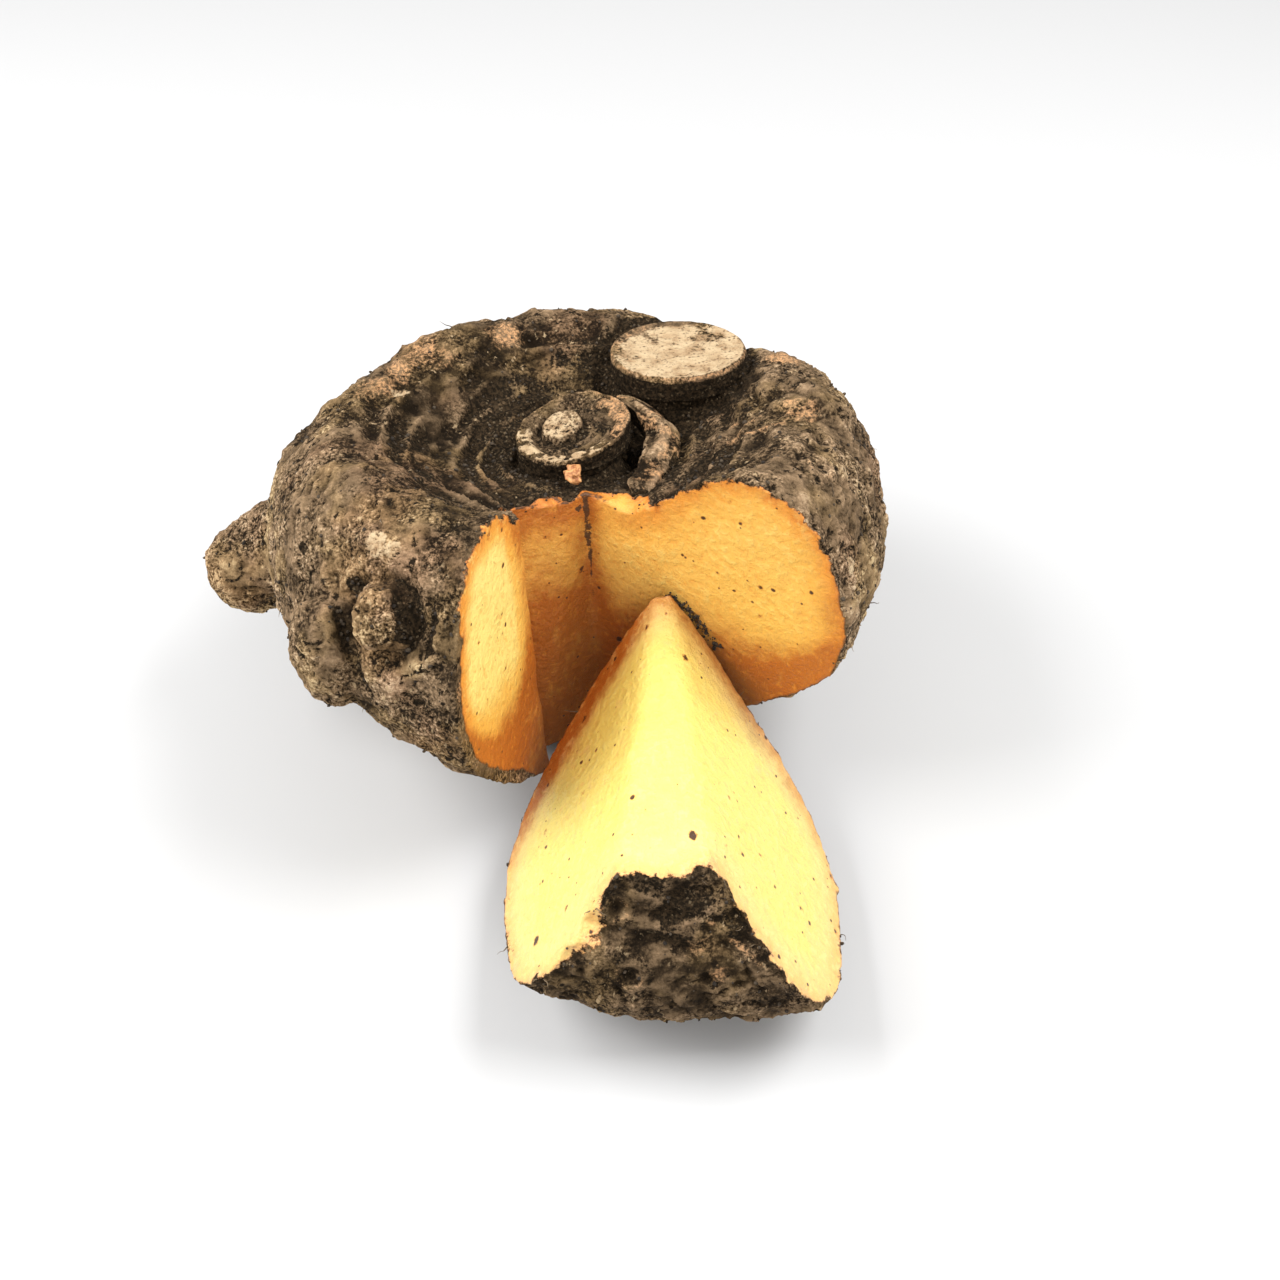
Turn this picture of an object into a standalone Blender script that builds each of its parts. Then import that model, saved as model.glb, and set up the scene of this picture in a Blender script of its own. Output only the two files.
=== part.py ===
"""A cut elephant-foot yam: a round corm with a notch in its front, and a wedge laid in front of the notch.

All lengths are in metres, +Z is up and the front is -Y. The yam is first modelled whole, standing on its own axis with
its widest part at height zero: an outline turned round the axis, made lumpy, with its scars and knobs joined on. Blocks
that stand for the knife's cuts then take the notch out of the corm, and the wedge out of a second copy of the body.
The corm is set down leaning back on its underside, and the wedge on its outer skin with its thin end in the notch.
"""

import math
import random

import bmesh
import bpy
from mathutils import Matrix, Vector, noise
from mathutils.bvhtree import BVHTree

# The turned outline of the whole corm, from the middle of the top to the middle of the underside:
# radius, height above the widest part, and rows of faces up to the next point.
EQUATOR_RADIUS = 0.110
OUTLINE = (
    (0.000, 0.0330, 1),
    (0.014, 0.0325, 1),
    (0.024, 0.0305, 4),
    (0.038, 0.0325, 4),
    (0.052, 0.0390, 4),
    (0.064, 0.0480, 3),
    (0.077, 0.0530, 3),
    (0.090, 0.0490, 3),
    (0.101, 0.0370, 3),
    (0.108, 0.0190, 3),
    (EQUATOR_RADIUS, 0.0000, 3),
    (0.104, -0.0220, 3),
    (0.090, -0.0430, 3),
    (0.071, -0.0610, 3),
    (0.050, -0.0755, 3),
    (0.029, -0.0850, 2),
    (0.012, -0.0880, 1),
    (0.000, -0.0885, 0),
)
TURN_STEPS = 80
MERGE = 0.00005

# How far the body is out of round: waves round the axis, share of the radius, and where a wave's crest lies (degrees).
OUT_OF_ROUND = ((2, 0.020, 10), (3, 0.014, 70), (5, 0.008, 25))

# Lumps all over the skin: their width, and how far they stand in or out.
LUMPS = ((0.034, 0.0028), (0.014, 0.0013))

# The leaf-scar rings in the hollow of the top.
RING_INNER_RADIUS = 0.024
RING_OUTER_RADIUS = 0.072
RING_PITCH = 0.0088
RING_RISE = 0.0014

# Swellings and dents: direction round the axis from +X and above the widest part (degrees), how far each one reaches
# over the skin, and how far it stands out, or in if negative.
SWELLINGS = (
    (281, 0, 0.055, 0.0130),
    (305, 25, 0.030, 0.0050),
    (222, 2, 0.036, 0.0010),
    (236, 15, 0.019, -0.0045),
    (206, -36, 0.046, -0.0110),
    (335, -40, 0.046, -0.0070),
    (160, 30, 0.040, -0.0035),
    (54, 38, 0.034, -0.0100),
    (303, 42, 0.016, -0.0050),
    (20, 12, 0.030, 0.0030),
    (100, 44, 0.018, -0.0030),
    (20, 50, 0.016, -0.0025),
    (118, -8, 0.030, 0.0040),
)

# Turned growths, each from the middle of its foot under the skin to the middle of its top: radius, height.
STALK_SCAR = ((0.0, -0.016), (0.0250, -0.016), (0.0246, 0.0000), (0.0256, 0.0048), (0.0248, 0.0066), (0.0, 0.0068))
STALK_SCAR_PLACE = Vector((0.0365, 0.0500, 0.0440))
STALK_SCAR_TILT = math.radians(-2)
EYE = (
    (0.0, -0.008),
    (0.0212, -0.008),
    (0.0205, 0.0012),
    (0.0208, 0.0052),
    (0.0190, 0.0066),
    (0.0165, 0.0058),
    (0.0140, 0.0026),
    (0.0118, 0.0026),
    (0.0108, 0.0060),
    (0.0092, 0.0074),
    (0.0050, 0.0072),
    (0.0042, 0.0090),
    (0.0, 0.0096),
)
EYE_PLACE = Vector((-0.0005, 0.0095, 0.0345))
EYE_TILT = math.radians(7)
SIDE_TUBER = (
    (0.0, -0.026),
    (0.0270, -0.026),
    (0.0225, -0.008),
    (0.0190, 0.004),
    (0.0180, 0.014),
    (0.0172, 0.022),
    (0.0145, 0.0285),
    (0.0085, 0.0330),
    (0.0, 0.0345),
)
KNOB = (
    (0.0, -0.008),
    (0.0105, -0.008),
    (0.0095, 0.0010),
    (0.0100, 0.0050),
    (0.0088, 0.0085),
    (0.0055, 0.0110),
    (0.0, 0.0120),
)
LOBE = ((0.0, -0.020), (0.0200, -0.020), (0.0200, 0.0000), (0.0175, 0.0065), (0.0115, 0.0115), (0.0, 0.0140))
ROUND_SCAR = ((0.0, -0.004), (0.0055, -0.004), (0.0050, 0.0014), (0.0036, 0.0022), (0.0018, 0.0012), (0.0, 0.0011))
NIB = ((0.0, -0.004), (0.0032, -0.004), (0.0026, 0.0030), (0.0014, 0.0050), (0.0, 0.0054))
WART = ((0.0, -0.0030), (0.0026, -0.0030), (0.0021, 0.0008), (0.0010, 0.0018), (0.0, 0.0020))

# Where the growths of the flanks stand: outline, direction round the axis and above the widest part (degrees), scale
# across, along the skin and outwards, and whether the skin on top is a pale scar.
FLANK_GROWTHS = (
    ("side_tuber", SIDE_TUBER, 16, 177, -4, (1.0, 1.0, 0.87), False),
    ("lobe", LOBE, 14, 223, 3, (0.75, 1.05, 0.75), False),
    ("knob", KNOB, 12, 236, 15, (0.95, 1.15, 1.0), False),
    ("back_knob", KNOB, 12, 85, -14, (1.2, 1.0, 0.7), False),
    ("back_lobe", LOBE, 14, 128, -22, (0.9, 0.8, 0.7), False),
    ("right_knob", KNOB, 10, 4, 28, (1.0, 0.9, 0.35), False),
    ("right_scar", ROUND_SCAR, 10, 350, 16, (1.0, 1.3, 1.0), True),
    ("right_low_scar", ROUND_SCAR, 10, 352, -8, (0.9, 1.2, 1.0), True),
    ("back_scar", ROUND_SCAR, 10, 60, 6, (1.2, 1.4, 1.0), True),
    ("left_scar", ROUND_SCAR, 10, 230, 27, (1.6, 1.0, 0.8), True),
    ("nib", NIB, 8, 158, 50, (1.0, 1.0, 1.0), True),
)
WART_COUNT = 46
WART_SEED = 11

# The knife's cuts, in plan round the corm's axis: where the right-hand cut ends inside, the two ends of the middle
# facet where the left-hand cut starts, and the ways the two long cuts run outwards (degrees). The first outline of each
# pair is at the height of the top, and the second at the height of the underside.
CUT_HEIGHTS = (0.060, -0.100)
NOTCH_CORNERS = (
    (Vector((0.0040, -0.0245)), Vector((-0.0250, -0.0345)), Vector((-0.0165, -0.0480))),
    (Vector((0.0040, 0.0030)), Vector((-0.0190, -0.0180)), Vector((-0.0135, -0.0380))),
)
NOTCH_TURNS = (330, 252)
WEDGE_CORNERS = (
    (Vector((0.0185, -0.032)), Vector((0.0000, -0.0315)), Vector((-0.0185, -0.032))),
    (Vector((0.0010, -0.036)), Vector((0.0000, -0.0355)), Vector((-0.0010, -0.036))),
)
WEDGE_TURNS = (307, 235)
KNIFE_REACH = 0.20

# How the two pieces lie.
CORM_LEAN_BACK = math.radians(11)
CORM_LEAN_LEFT = math.radians(2)
CORM_PLACE = Vector((-0.0015, -0.010))
WEDGE_ROLL = math.radians(-8)
WEDGE_NOSE_UP = math.radians(6)
WEDGE_PLACE = Vector((0.0285, -0.1275))
FLAT_DEPTH = 0.0015
GROUND_BLOCK = 0.6
SHARP_ANGLE = math.radians(38)

BARK_COLOUR = (0.115, 0.085, 0.058, 1.0)
FLESH_COLOUR = (0.90, 0.52, 0.12, 1.0)
SCAR_COLOUR = (0.62, 0.50, 0.35, 1.0)


def clear_scene():
    """Removes whatever the file opened with."""
    for item in list(bpy.data.objects):
        bpy.data.objects.remove(item)


def new_collection(name):
    """A collection in the scene."""
    collection = bpy.data.collections.new(name)
    bpy.context.scene.collection.children.link(collection)
    return collection


def make_material(name, colour, roughness):
    """A plain Principled material."""
    material = bpy.data.materials.new(name)
    material.use_nodes = True
    shader = material.node_tree.nodes["Principled BSDF"]
    shader.inputs["Base Color"].default_value = colour
    shader.inputs["Roughness"].default_value = roughness
    material.diffuse_color = colour
    return material


def link(name, mesh, collection):
    """A new object for a mesh, in a collection."""
    item = bpy.data.objects.new(name, mesh)
    collection.objects.link(item)
    return item


def finished(name, shape, collection):
    """Turns a bmesh into an object, and frees it."""
    bmesh.ops.recalc_face_normals(shape, faces=shape.faces)
    mesh = bpy.data.meshes.new(name)
    shape.to_mesh(mesh)
    shape.free()
    return link(name, mesh, collection)


def smooth_outline():
    """The outline's points as one smooth curve, with the rows that each stretch asks for."""
    points = [Vector((radius, height)) for radius, height, rows in OUTLINE]
    curve = []
    for index, (start, end) in enumerate(zip(points, points[1:])):
        before = points[max(index - 1, 0)]
        after = points[min(index + 2, len(points) - 1)]
        rows = OUTLINE[index][2]
        for row in range(rows):
            t = row / rows
            straight = 2 * start + (end - before) * t
            bent = (2 * before - 5 * start + 4 * end - after) * t**2
            bent += (3 * start - before - 3 * end + after) * t**3
            curve.append((straight + bent) / 2)
    curve.append(points[-1])
    return curve


def turned(name, outline, steps, collection):
    """A closed body turned round Z from an outline that starts and ends on the axis."""
    shape = bmesh.new()
    ends = [shape.verts.new((radius, 0, height)) for radius, height in outline]
    edges = [shape.edges.new(pair) for pair in zip(ends, ends[1:])]
    bmesh.ops.spin(
        shape,
        geom=ends + edges,
        cent=(0, 0, 0),
        axis=(0, 0, 1),
        angle=math.tau,
        steps=steps,
        use_merge=True,
    )
    bmesh.ops.remove_doubles(shape, verts=shape.verts, dist=MERGE)
    return finished(name, shape, collection)


def direction(turn, lift):
    """The unit vector at an angle round the axis and an angle above the widest part, both in degrees."""
    turn, lift = math.radians(turn), math.radians(lift)
    return Vector((math.cos(turn) * math.cos(lift), math.sin(turn) * math.cos(lift), math.sin(lift)))


def grown(point, normal):
    """Where a point of the turned body goes: out of round, ringed in the hollow, swollen and lumpy."""
    radius = math.hypot(point.x, point.y)
    turn = math.atan2(point.y, point.x)
    spread = 1.0
    for waves, share, crest in OUT_OF_ROUND:
        spread += share * math.cos(waves * (turn - math.radians(crest)))
    moved = Vector((point.x * spread, point.y * spread, point.z))
    if RING_INNER_RADIUS < radius < RING_OUTER_RADIUS and point.z > 0:
        share = (radius - RING_INNER_RADIUS) / (RING_OUTER_RADIUS - RING_INNER_RADIUS)
        fade = math.sin(math.pi * share) ** 0.5
        drift = 0.0016 * math.sin(2 * turn) + 0.0010 * math.sin(3 * turn + 1)
        moved += normal * RING_RISE * fade * math.cos(math.tau * (radius + drift) / RING_PITCH)
    for turn_degrees, lift_degrees, reach, rise in SWELLINGS:
        away = (point.normalized() - direction(turn_degrees, lift_degrees)).length * EQUATOR_RADIUS / reach
        moved += normal * rise * math.exp(-(away**2))
    for width, rise in LUMPS:
        moved += normal * rise * noise.noise(point / width)
    return moved


def shape_body(mesh):
    """Moves every point of the turned body to where it has grown."""
    normals = [entry.vector.copy() for entry in mesh.vertex_normals]
    for vertex, normal in zip(mesh.vertices, normals):
        vertex.co = grown(vertex.co, normal)


def on_skin(skin, turn, lift):
    """The frame on the skin in a direction from the middle, with its Z axis pointing out of the skin."""
    way = direction(turn, lift)
    point, normal, *_ = skin.ray_cast(way * 0.3, -way)
    return Matrix.Translation(point) @ normal.to_track_quat("Z", "Y").to_matrix().to_4x4()


def grow(name, outline, steps, frame, bark, top, collection):
    """One turned growth in its place, with its top faces in a material of their own."""
    growth = turned(name, outline, steps, collection)
    growth.data.materials.append(bark)
    growth.data.materials.append(top)
    for polygon in growth.data.polygons:
        if polygon.normal.z > 0.8 and polygon.center.z > 0:
            polygon.material_index = 1
    growth.data.transform(frame)
    return growth


def grow_all(skin, bark, scar, collection):
    """The stalk's scar, the eye, the side tuber, the knobs, the small scars and the warts."""
    stalk_frame = Matrix.Translation(STALK_SCAR_PLACE) @ Matrix.Rotation(STALK_SCAR_TILT, 4, "X")
    grow("stalk_scar", STALK_SCAR, 32, stalk_frame, bark, scar, collection)
    eye_frame = Matrix.Translation(EYE_PLACE) @ Matrix.Rotation(EYE_TILT, 4, "X")
    grow("eye", EYE, 28, eye_frame, bark, scar, collection)
    for name, outline, steps, turn, lift, scale, pale in FLANK_GROWTHS:
        frame = on_skin(skin, turn, lift) @ Matrix.Diagonal(scale).to_4x4()
        grow(name, outline, steps, frame, bark, scar if pale else bark, collection)
    chance = random.Random(WART_SEED)
    for index in range(WART_COUNT):
        turn = (index * 137.5 + chance.uniform(-9, 9)) % 360
        lift = math.degrees(math.asin(0.50 - 1.20 * (index + chance.random()) / WART_COUNT))
        size = chance.uniform(0.75, 1.5)
        frame = on_skin(skin, turn, lift) @ Matrix.Diagonal((size, size, chance.uniform(0.7, 1.2))).to_4x4()
        grow(f"wart_{index}", WART, 6, frame, bark, bark, collection)


def knife_block(name, corners, turns, collection):
    """The closed block between the knife's cuts, from its outline at the top to the one at the underside."""

    def outline(inner_corners, height):
        right, middle, left = inner_corners
        right_end = right + KNIFE_REACH * direction(turns[0], 0).to_2d()
        left_end = left + KNIFE_REACH * direction(turns[1], 0).to_2d()
        front = Vector((0, -KNIFE_REACH))
        plan = (right, middle, left, left_end, left_end + front, right_end + front, right_end)
        return [point.to_3d() + Vector((0, 0, height)) for point in plan]

    top, underside = (outline(*pair) for pair in zip(corners, CUT_HEIGHTS))
    shape = bmesh.new()
    upper = [shape.verts.new(point) for point in top]
    lower = [shape.verts.new(point) for point in underside]
    shape.faces.new(upper)
    shape.faces.new(reversed(lower))
    upper_edges = [shape.edges.get((a, b)) for a, b in zip(upper, upper[1:] + upper[:1])]
    lower_edges = [shape.edges.get((a, b)) for a, b in zip(lower, lower[1:] + lower[:1])]
    bmesh.ops.bridge_loops(shape, edges=upper_edges + lower_edges)
    bmesh.ops.triangulate(shape, faces=shape.faces)
    return finished(name, shape, collection)


def ground_block(collection):
    """A block with its top at the surface that the yam lies on."""
    shape = bmesh.new()
    bmesh.ops.create_cube(shape, size=GROUND_BLOCK)
    bmesh.ops.translate(shape, verts=shape.verts, vec=(0, 0, -GROUND_BLOCK / 2))
    return finished("ground_block", shape, collection)


def combine(item, other, operation):
    """Joins an object with another, or cuts it with one, for good; new faces keep the other's material."""
    modifier = item.modifiers.new(operation.lower(), "BOOLEAN")
    if isinstance(other, bpy.types.Collection):
        modifier.operand_type = "COLLECTION"
        modifier.collection = other
    else:
        modifier.object = other
    modifier.operation = operation
    modifier.solver = "EXACT"
    modifier.material_mode = "TRANSFER"
    bpy.context.view_layer.update()
    graph = bpy.context.evaluated_depsgraph_get()
    result = bpy.data.meshes.new_from_object(item.evaluated_get(graph))
    item.modifiers.clear()
    item.data = result


def settle(item, turned_by, place):
    """Turns an object's mesh, and sets its lowest point just under the ground at a place."""
    item.data.transform(turned_by)
    lowest = min(vertex.co.z for vertex in item.data.vertices)
    item.data.transform(Matrix.Translation((place.x, place.y, -lowest - FLAT_DEPTH)))


def main():
    """Builds the corm and the wedge."""
    clear_scene()
    yam = new_collection("yam")
    growths = new_collection("growths")
    cutters = new_collection("cutters")
    bark = make_material("bark", BARK_COLOUR, 0.9)
    flesh = make_material("flesh", FLESH_COLOUR, 0.45)
    scar = make_material("scar", SCAR_COLOUR, 0.85)

    corm = turned("yam_corm", smooth_outline(), TURN_STEPS, yam)
    corm.data.materials.append(bark)
    shape_body(corm.data)
    skin = BVHTree.FromPolygons([v.co for v in corm.data.vertices], [p.vertices for p in corm.data.polygons])
    grow_all(skin, bark, scar, growths)
    combine(corm, growths, "UNION")
    wedge = link("yam_wedge", corm.data.copy(), yam)

    notch_block = knife_block("notch_block", NOTCH_CORNERS, NOTCH_TURNS, cutters)
    wedge_block = knife_block("wedge_block", WEDGE_CORNERS, WEDGE_TURNS, cutters)
    ground = ground_block(cutters)
    for block, material in ((notch_block, flesh), (wedge_block, flesh), (ground, bark)):
        block.data.materials.append(material)
    combine(corm, notch_block, "DIFFERENCE")
    wedge.data.transform(Matrix.Rotation(WEDGE_ROLL, 4, "Z"))
    combine(wedge, wedge_block, "INTERSECT")

    leaning = Matrix.Rotation(-CORM_LEAN_LEFT, 4, "Y") @ Matrix.Rotation(-CORM_LEAN_BACK, 4, "X")
    settle(corm, leaning, CORM_PLACE)
    settle(wedge, Matrix.Rotation(math.radians(90) + WEDGE_NOSE_UP, 4, "X"), WEDGE_PLACE)
    for item in (corm, wedge):
        combine(item, ground, "DIFFERENCE")
        item.data.shade_smooth()
        item.data.set_sharp_from_angle(angle=SHARP_ANGLE)
    for cutter in list(cutters.objects) + list(growths.objects):
        cutter.hide_render = True
        cutter.display_type = "WIRE"


if __name__ == "__main__":
    main()
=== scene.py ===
"""The looks of a cut elephant-foot yam: the corm with its notch, and the wedge that lies in front of it.

Each of the two solids of the frame is copied, remeshed finely and given the relief of its skin and flesh.
Measured values are stored on its points, such as how deep a point lies under the skin, and the finishes are
mixed by them. The stalk's scar, the eye, the flap beside it, a chip of flesh, rootlets and crumbs of soil are
pieces of their own. All lengths are in metres.
"""

from __future__ import annotations

import logging
import math
import random
from dataclasses import dataclass, field
from enum import Enum

import bmesh
import bpy
import numpy as np
from mathutils import Matrix, Vector, noise
from mathutils.bvhtree import BVHTree
from mathutils.kdtree import KDTree


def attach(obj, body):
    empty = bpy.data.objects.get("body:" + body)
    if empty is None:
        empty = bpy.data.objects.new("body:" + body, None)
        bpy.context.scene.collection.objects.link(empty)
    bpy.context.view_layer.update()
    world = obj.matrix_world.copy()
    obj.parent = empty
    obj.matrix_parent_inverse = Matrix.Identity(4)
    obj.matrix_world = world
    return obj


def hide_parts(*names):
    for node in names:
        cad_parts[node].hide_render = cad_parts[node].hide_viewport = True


LOG = logging.getLogger("yam")
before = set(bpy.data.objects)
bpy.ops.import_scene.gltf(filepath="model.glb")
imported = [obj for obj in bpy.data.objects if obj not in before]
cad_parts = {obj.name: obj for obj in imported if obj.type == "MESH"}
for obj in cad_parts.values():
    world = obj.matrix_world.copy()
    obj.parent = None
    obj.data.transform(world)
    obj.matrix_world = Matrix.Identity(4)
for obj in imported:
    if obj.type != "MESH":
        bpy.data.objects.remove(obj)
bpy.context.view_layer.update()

MM = 0.001
BODY = "root"
BARK_DEPTH = -5.0  # the stored depth of a growth that is bark all over, in millimetres
WALL_ROWS = 14  # how many rows of faces the wall of a growth has
SKIN_RADIUS = 0.11  # about how far the skin is from the middle of the whole yam

Colour = tuple[float, float, float]
Place = tuple[float, float, float]
Line = tuple[Place, ...]


class Stored(Enum):
    """The values stored on the points of a piece, which its finish reads."""

    DEPTH = "depth"  # millimetres under the skin on a cut face, and below zero on the skin
    SOIL_AND_SHADE = "soil"  # how much dark soil lies there, with painted shade in the knob's groove, round the growths' feet, by the wedge's tip and on the flap, from 0 to 1
    PALE = "pale"  # how much of a cream scar shows there, from 0 to 1
    RUBBED = "rubbed"  # how far the skin is rubbed to its orange underskin, from 0 to 1
    RELIEF = "relief"  # how high a point stands in the relief of the skin, from -1 to 1
    CRUST = "crust"  # how much light crust lies on the skin, from 0 to 1
    ORANGE_AND_SHADING = "orange_and_shading"  # how deep an orange the flesh has, with painted shade and painted light on the corm's notch, from -1 to 1
    TORN = "torn"  # how ragged the edge between skin and flesh is, from 0 to 1


# The corm's own frame: where its axis crosses its widest level, and how it leans.
CORM_MIDDLE = Vector((-0.0015, -0.010, 0.08867))
CORM_LEAN_BACK = math.radians(11)
CORM_LEAN_LEFT = math.radians(2)
# The wedge's own frame: the same body turned a little, tipped onto its outer skin.
WEDGE_MIDDLE = Vector((0.0285, -0.1275, 0.11956))
WEDGE_TIP = math.radians(90 + 6)
WEDGE_ROLL = math.radians(-8)


def corm_frame() -> Matrix:
    """The matrix from the whole yam's own frame to where the corm lies."""
    lean = Matrix.Rotation(-CORM_LEAN_LEFT, 4, "Y") @ Matrix.Rotation(-CORM_LEAN_BACK, 4, "X")
    return Matrix.Translation(CORM_MIDDLE) @ lean


def wedge_frame() -> Matrix:
    """The matrix from the whole yam's own frame to where the wedge lies."""
    tipped = Matrix.Rotation(WEDGE_TIP, 4, "X") @ Matrix.Rotation(WEDGE_ROLL, 4, "Z")
    return Matrix.Translation(WEDGE_MIDDLE) @ tipped


def direction(turn: float, lift: float) -> Vector:
    """The unit vector at an angle round the axis and an angle above the widest level, both in degrees."""
    turn, lift = math.radians(turn), math.radians(lift)
    return Vector((math.cos(turn) * math.cos(lift), math.sin(turn) * math.cos(lift), math.sin(lift)))


def smooth_step(low: float, high: float, value: np.ndarray) -> np.ndarray:
    """A smooth rise from 0 at low to 1 at high.

    Args:
        low: The value at which the rise starts.
        high: The value at which it ends; below low, the step falls.
        value: The values to judge.

    Returns:
        The step of each value.
    """
    share = np.clip((value - low) / (high - low), 0.0, 1.0)
    return share * share * (3.0 - 2.0 * share)


def bump_of(distance: np.ndarray, reach: float) -> np.ndarray:
    """A round bump of height 1 that has faded at about twice its reach.

    Args:
        distance: The distance of each point from the bump's middle.
        reach: The distance at which the bump has fallen to about a third.

    Returns:
        The bump's height at each point.
    """
    return np.exp(-((distance / reach) ** 2))


def noise_at(places: np.ndarray, width: float, seed: float, octaves: int = 1) -> np.ndarray:
    """Smooth noise from about -1 to 1.

    Args:
        places: The points, one row each.
        width: The width of the largest lumps.
        seed: A shift that makes one noise unlike another.
        octaves: How many finer layers there are, each half as wide and half as strong.

    Returns:
        The noise at each point.
    """
    shift = Vector((seed, seed * 1.7, -seed))
    total = np.zeros(len(places))
    for octave in range(octaves):
        scale = 2.0**octave / width
        values = [noise.noise(Vector(place) * scale + shift) for place in places]
        total += np.array(values) / 2.0**octave
    return total


def mesh_of(shape: bmesh.types.BMesh, name: str) -> bpy.types.Mesh:
    """Makes a mesh of a shape and frees the shape.

    Args:
        shape: The finished shape.
        name: The mesh's name.

    Returns:
        The mesh.
    """
    mesh = bpy.data.meshes.new(name)
    shape.to_mesh(mesh)
    shape.free()
    return mesh


def put(name: str, data: bpy.types.ID) -> bpy.types.Object:
    """Puts a mesh, a light or a camera into the scene.

    Args:
        name: The object's name.
        data: What it shows.

    Returns:
        The object.
    """
    item = bpy.data.objects.new(name, data)
    bpy.context.scene.collection.objects.link(item)
    return item


def hand_over(name: str, mesh: bpy.types.Mesh, material: bpy.types.Material) -> bpy.types.Object:
    """Makes a finished piece of the part.

    Args:
        name: The object's name.
        mesh: Its mesh.
        material: Its material.

    Returns:
        The object.
    """
    mesh.materials.clear()
    mesh.materials.append(material)
    mesh.shade_smooth()
    piece = put(name, mesh)
    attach(piece, BODY)
    LOG.info("%s: %d faces", name, len(mesh.polygons))
    return piece


@dataclass(frozen=True)
class Wire:
    """A value or a colour in a material. Wires add and multiply as numbers do."""

    socket: bpy.types.NodeSocket

    @property
    def tree(self) -> bpy.types.NodeTree:
        """The node tree that it lies in."""
        return self.socket.id_data

    def plug(self, socket: bpy.types.NodeSocket) -> None:
        """Links it to an input."""
        self.tree.links.new(self.socket, socket)

    def maths(self, kind: str, other: Wire | float, clamp: bool = False) -> Wire:
        """Joins it to another value by one kind of Math node.

        Args:
            kind: The kind of Math node.
            other: The other value.
            clamp: Whether the result is kept between 0 and 1.

        Returns:
            The result.
        """
        node = self.tree.nodes.new("ShaderNodeMath")
        node.operation = kind
        node.use_clamp = clamp
        self.plug(node.inputs[0])
        join(other, node.inputs[1])
        return Wire(node.outputs[0])

    def __add__(self, other: Wire | float) -> Wire:
        """Adds another value."""
        return self.maths("ADD", other)

    def __sub__(self, other: Wire | float) -> Wire:
        """Takes another value away."""
        return self.maths("SUBTRACT", other)

    def __mul__(self, other: Wire | float) -> Wire:
        """Multiplies by another value."""
        return self.maths("MULTIPLY", other)

    def ramp(self, low: float, high: float, to_low: float = 0.0, to_high: float = 1.0) -> Wire:
        """A smooth step of it.

        Args:
            low: The value at which the step starts.
            high: The value at which it ends; below low, the step falls.
            to_low: The result at the start.
            to_high: The result at the end.

        Returns:
            The step.
        """
        node = self.tree.nodes.new("ShaderNodeMapRange")
        node.interpolation_type = "SMOOTHSTEP"
        self.plug(node.inputs["Value"])
        for name, value in zip(("From Min", "From Max", "To Min", "To Max"), (low, high, to_low, to_high)):
            node.inputs[name].default_value = value
        return Wire(node.outputs["Result"])

    def gradient(self, *stops: tuple[float, Colour]) -> Wire:
        """A colour ramp of it, from its stops.

        Args:
            stops: Each stop's position and colour.

        Returns:
            The colour.
        """
        node = self.tree.nodes.new("ShaderNodeValToRGB")
        self.plug(node.inputs["Fac"])
        elements = node.color_ramp.elements
        while len(elements) < len(stops):
            elements.new(0.5)
        for element, (position, colour) in zip(elements, stops):
            element.position = position
            element.color = (*colour, 1.0)
        return Wire(node.outputs["Color"])


def join(source: Wire | float | Colour, socket: bpy.types.NodeSocket) -> None:
    """Sets an input to a number or a colour, or links a wire to it.

    Args:
        source: The wire, the number or the colour.
        socket: The input.
    """
    if isinstance(source, Wire):
        source.plug(socket)
    else:
        socket.default_value = (*source, 1.0) if isinstance(source, tuple) else source


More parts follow.
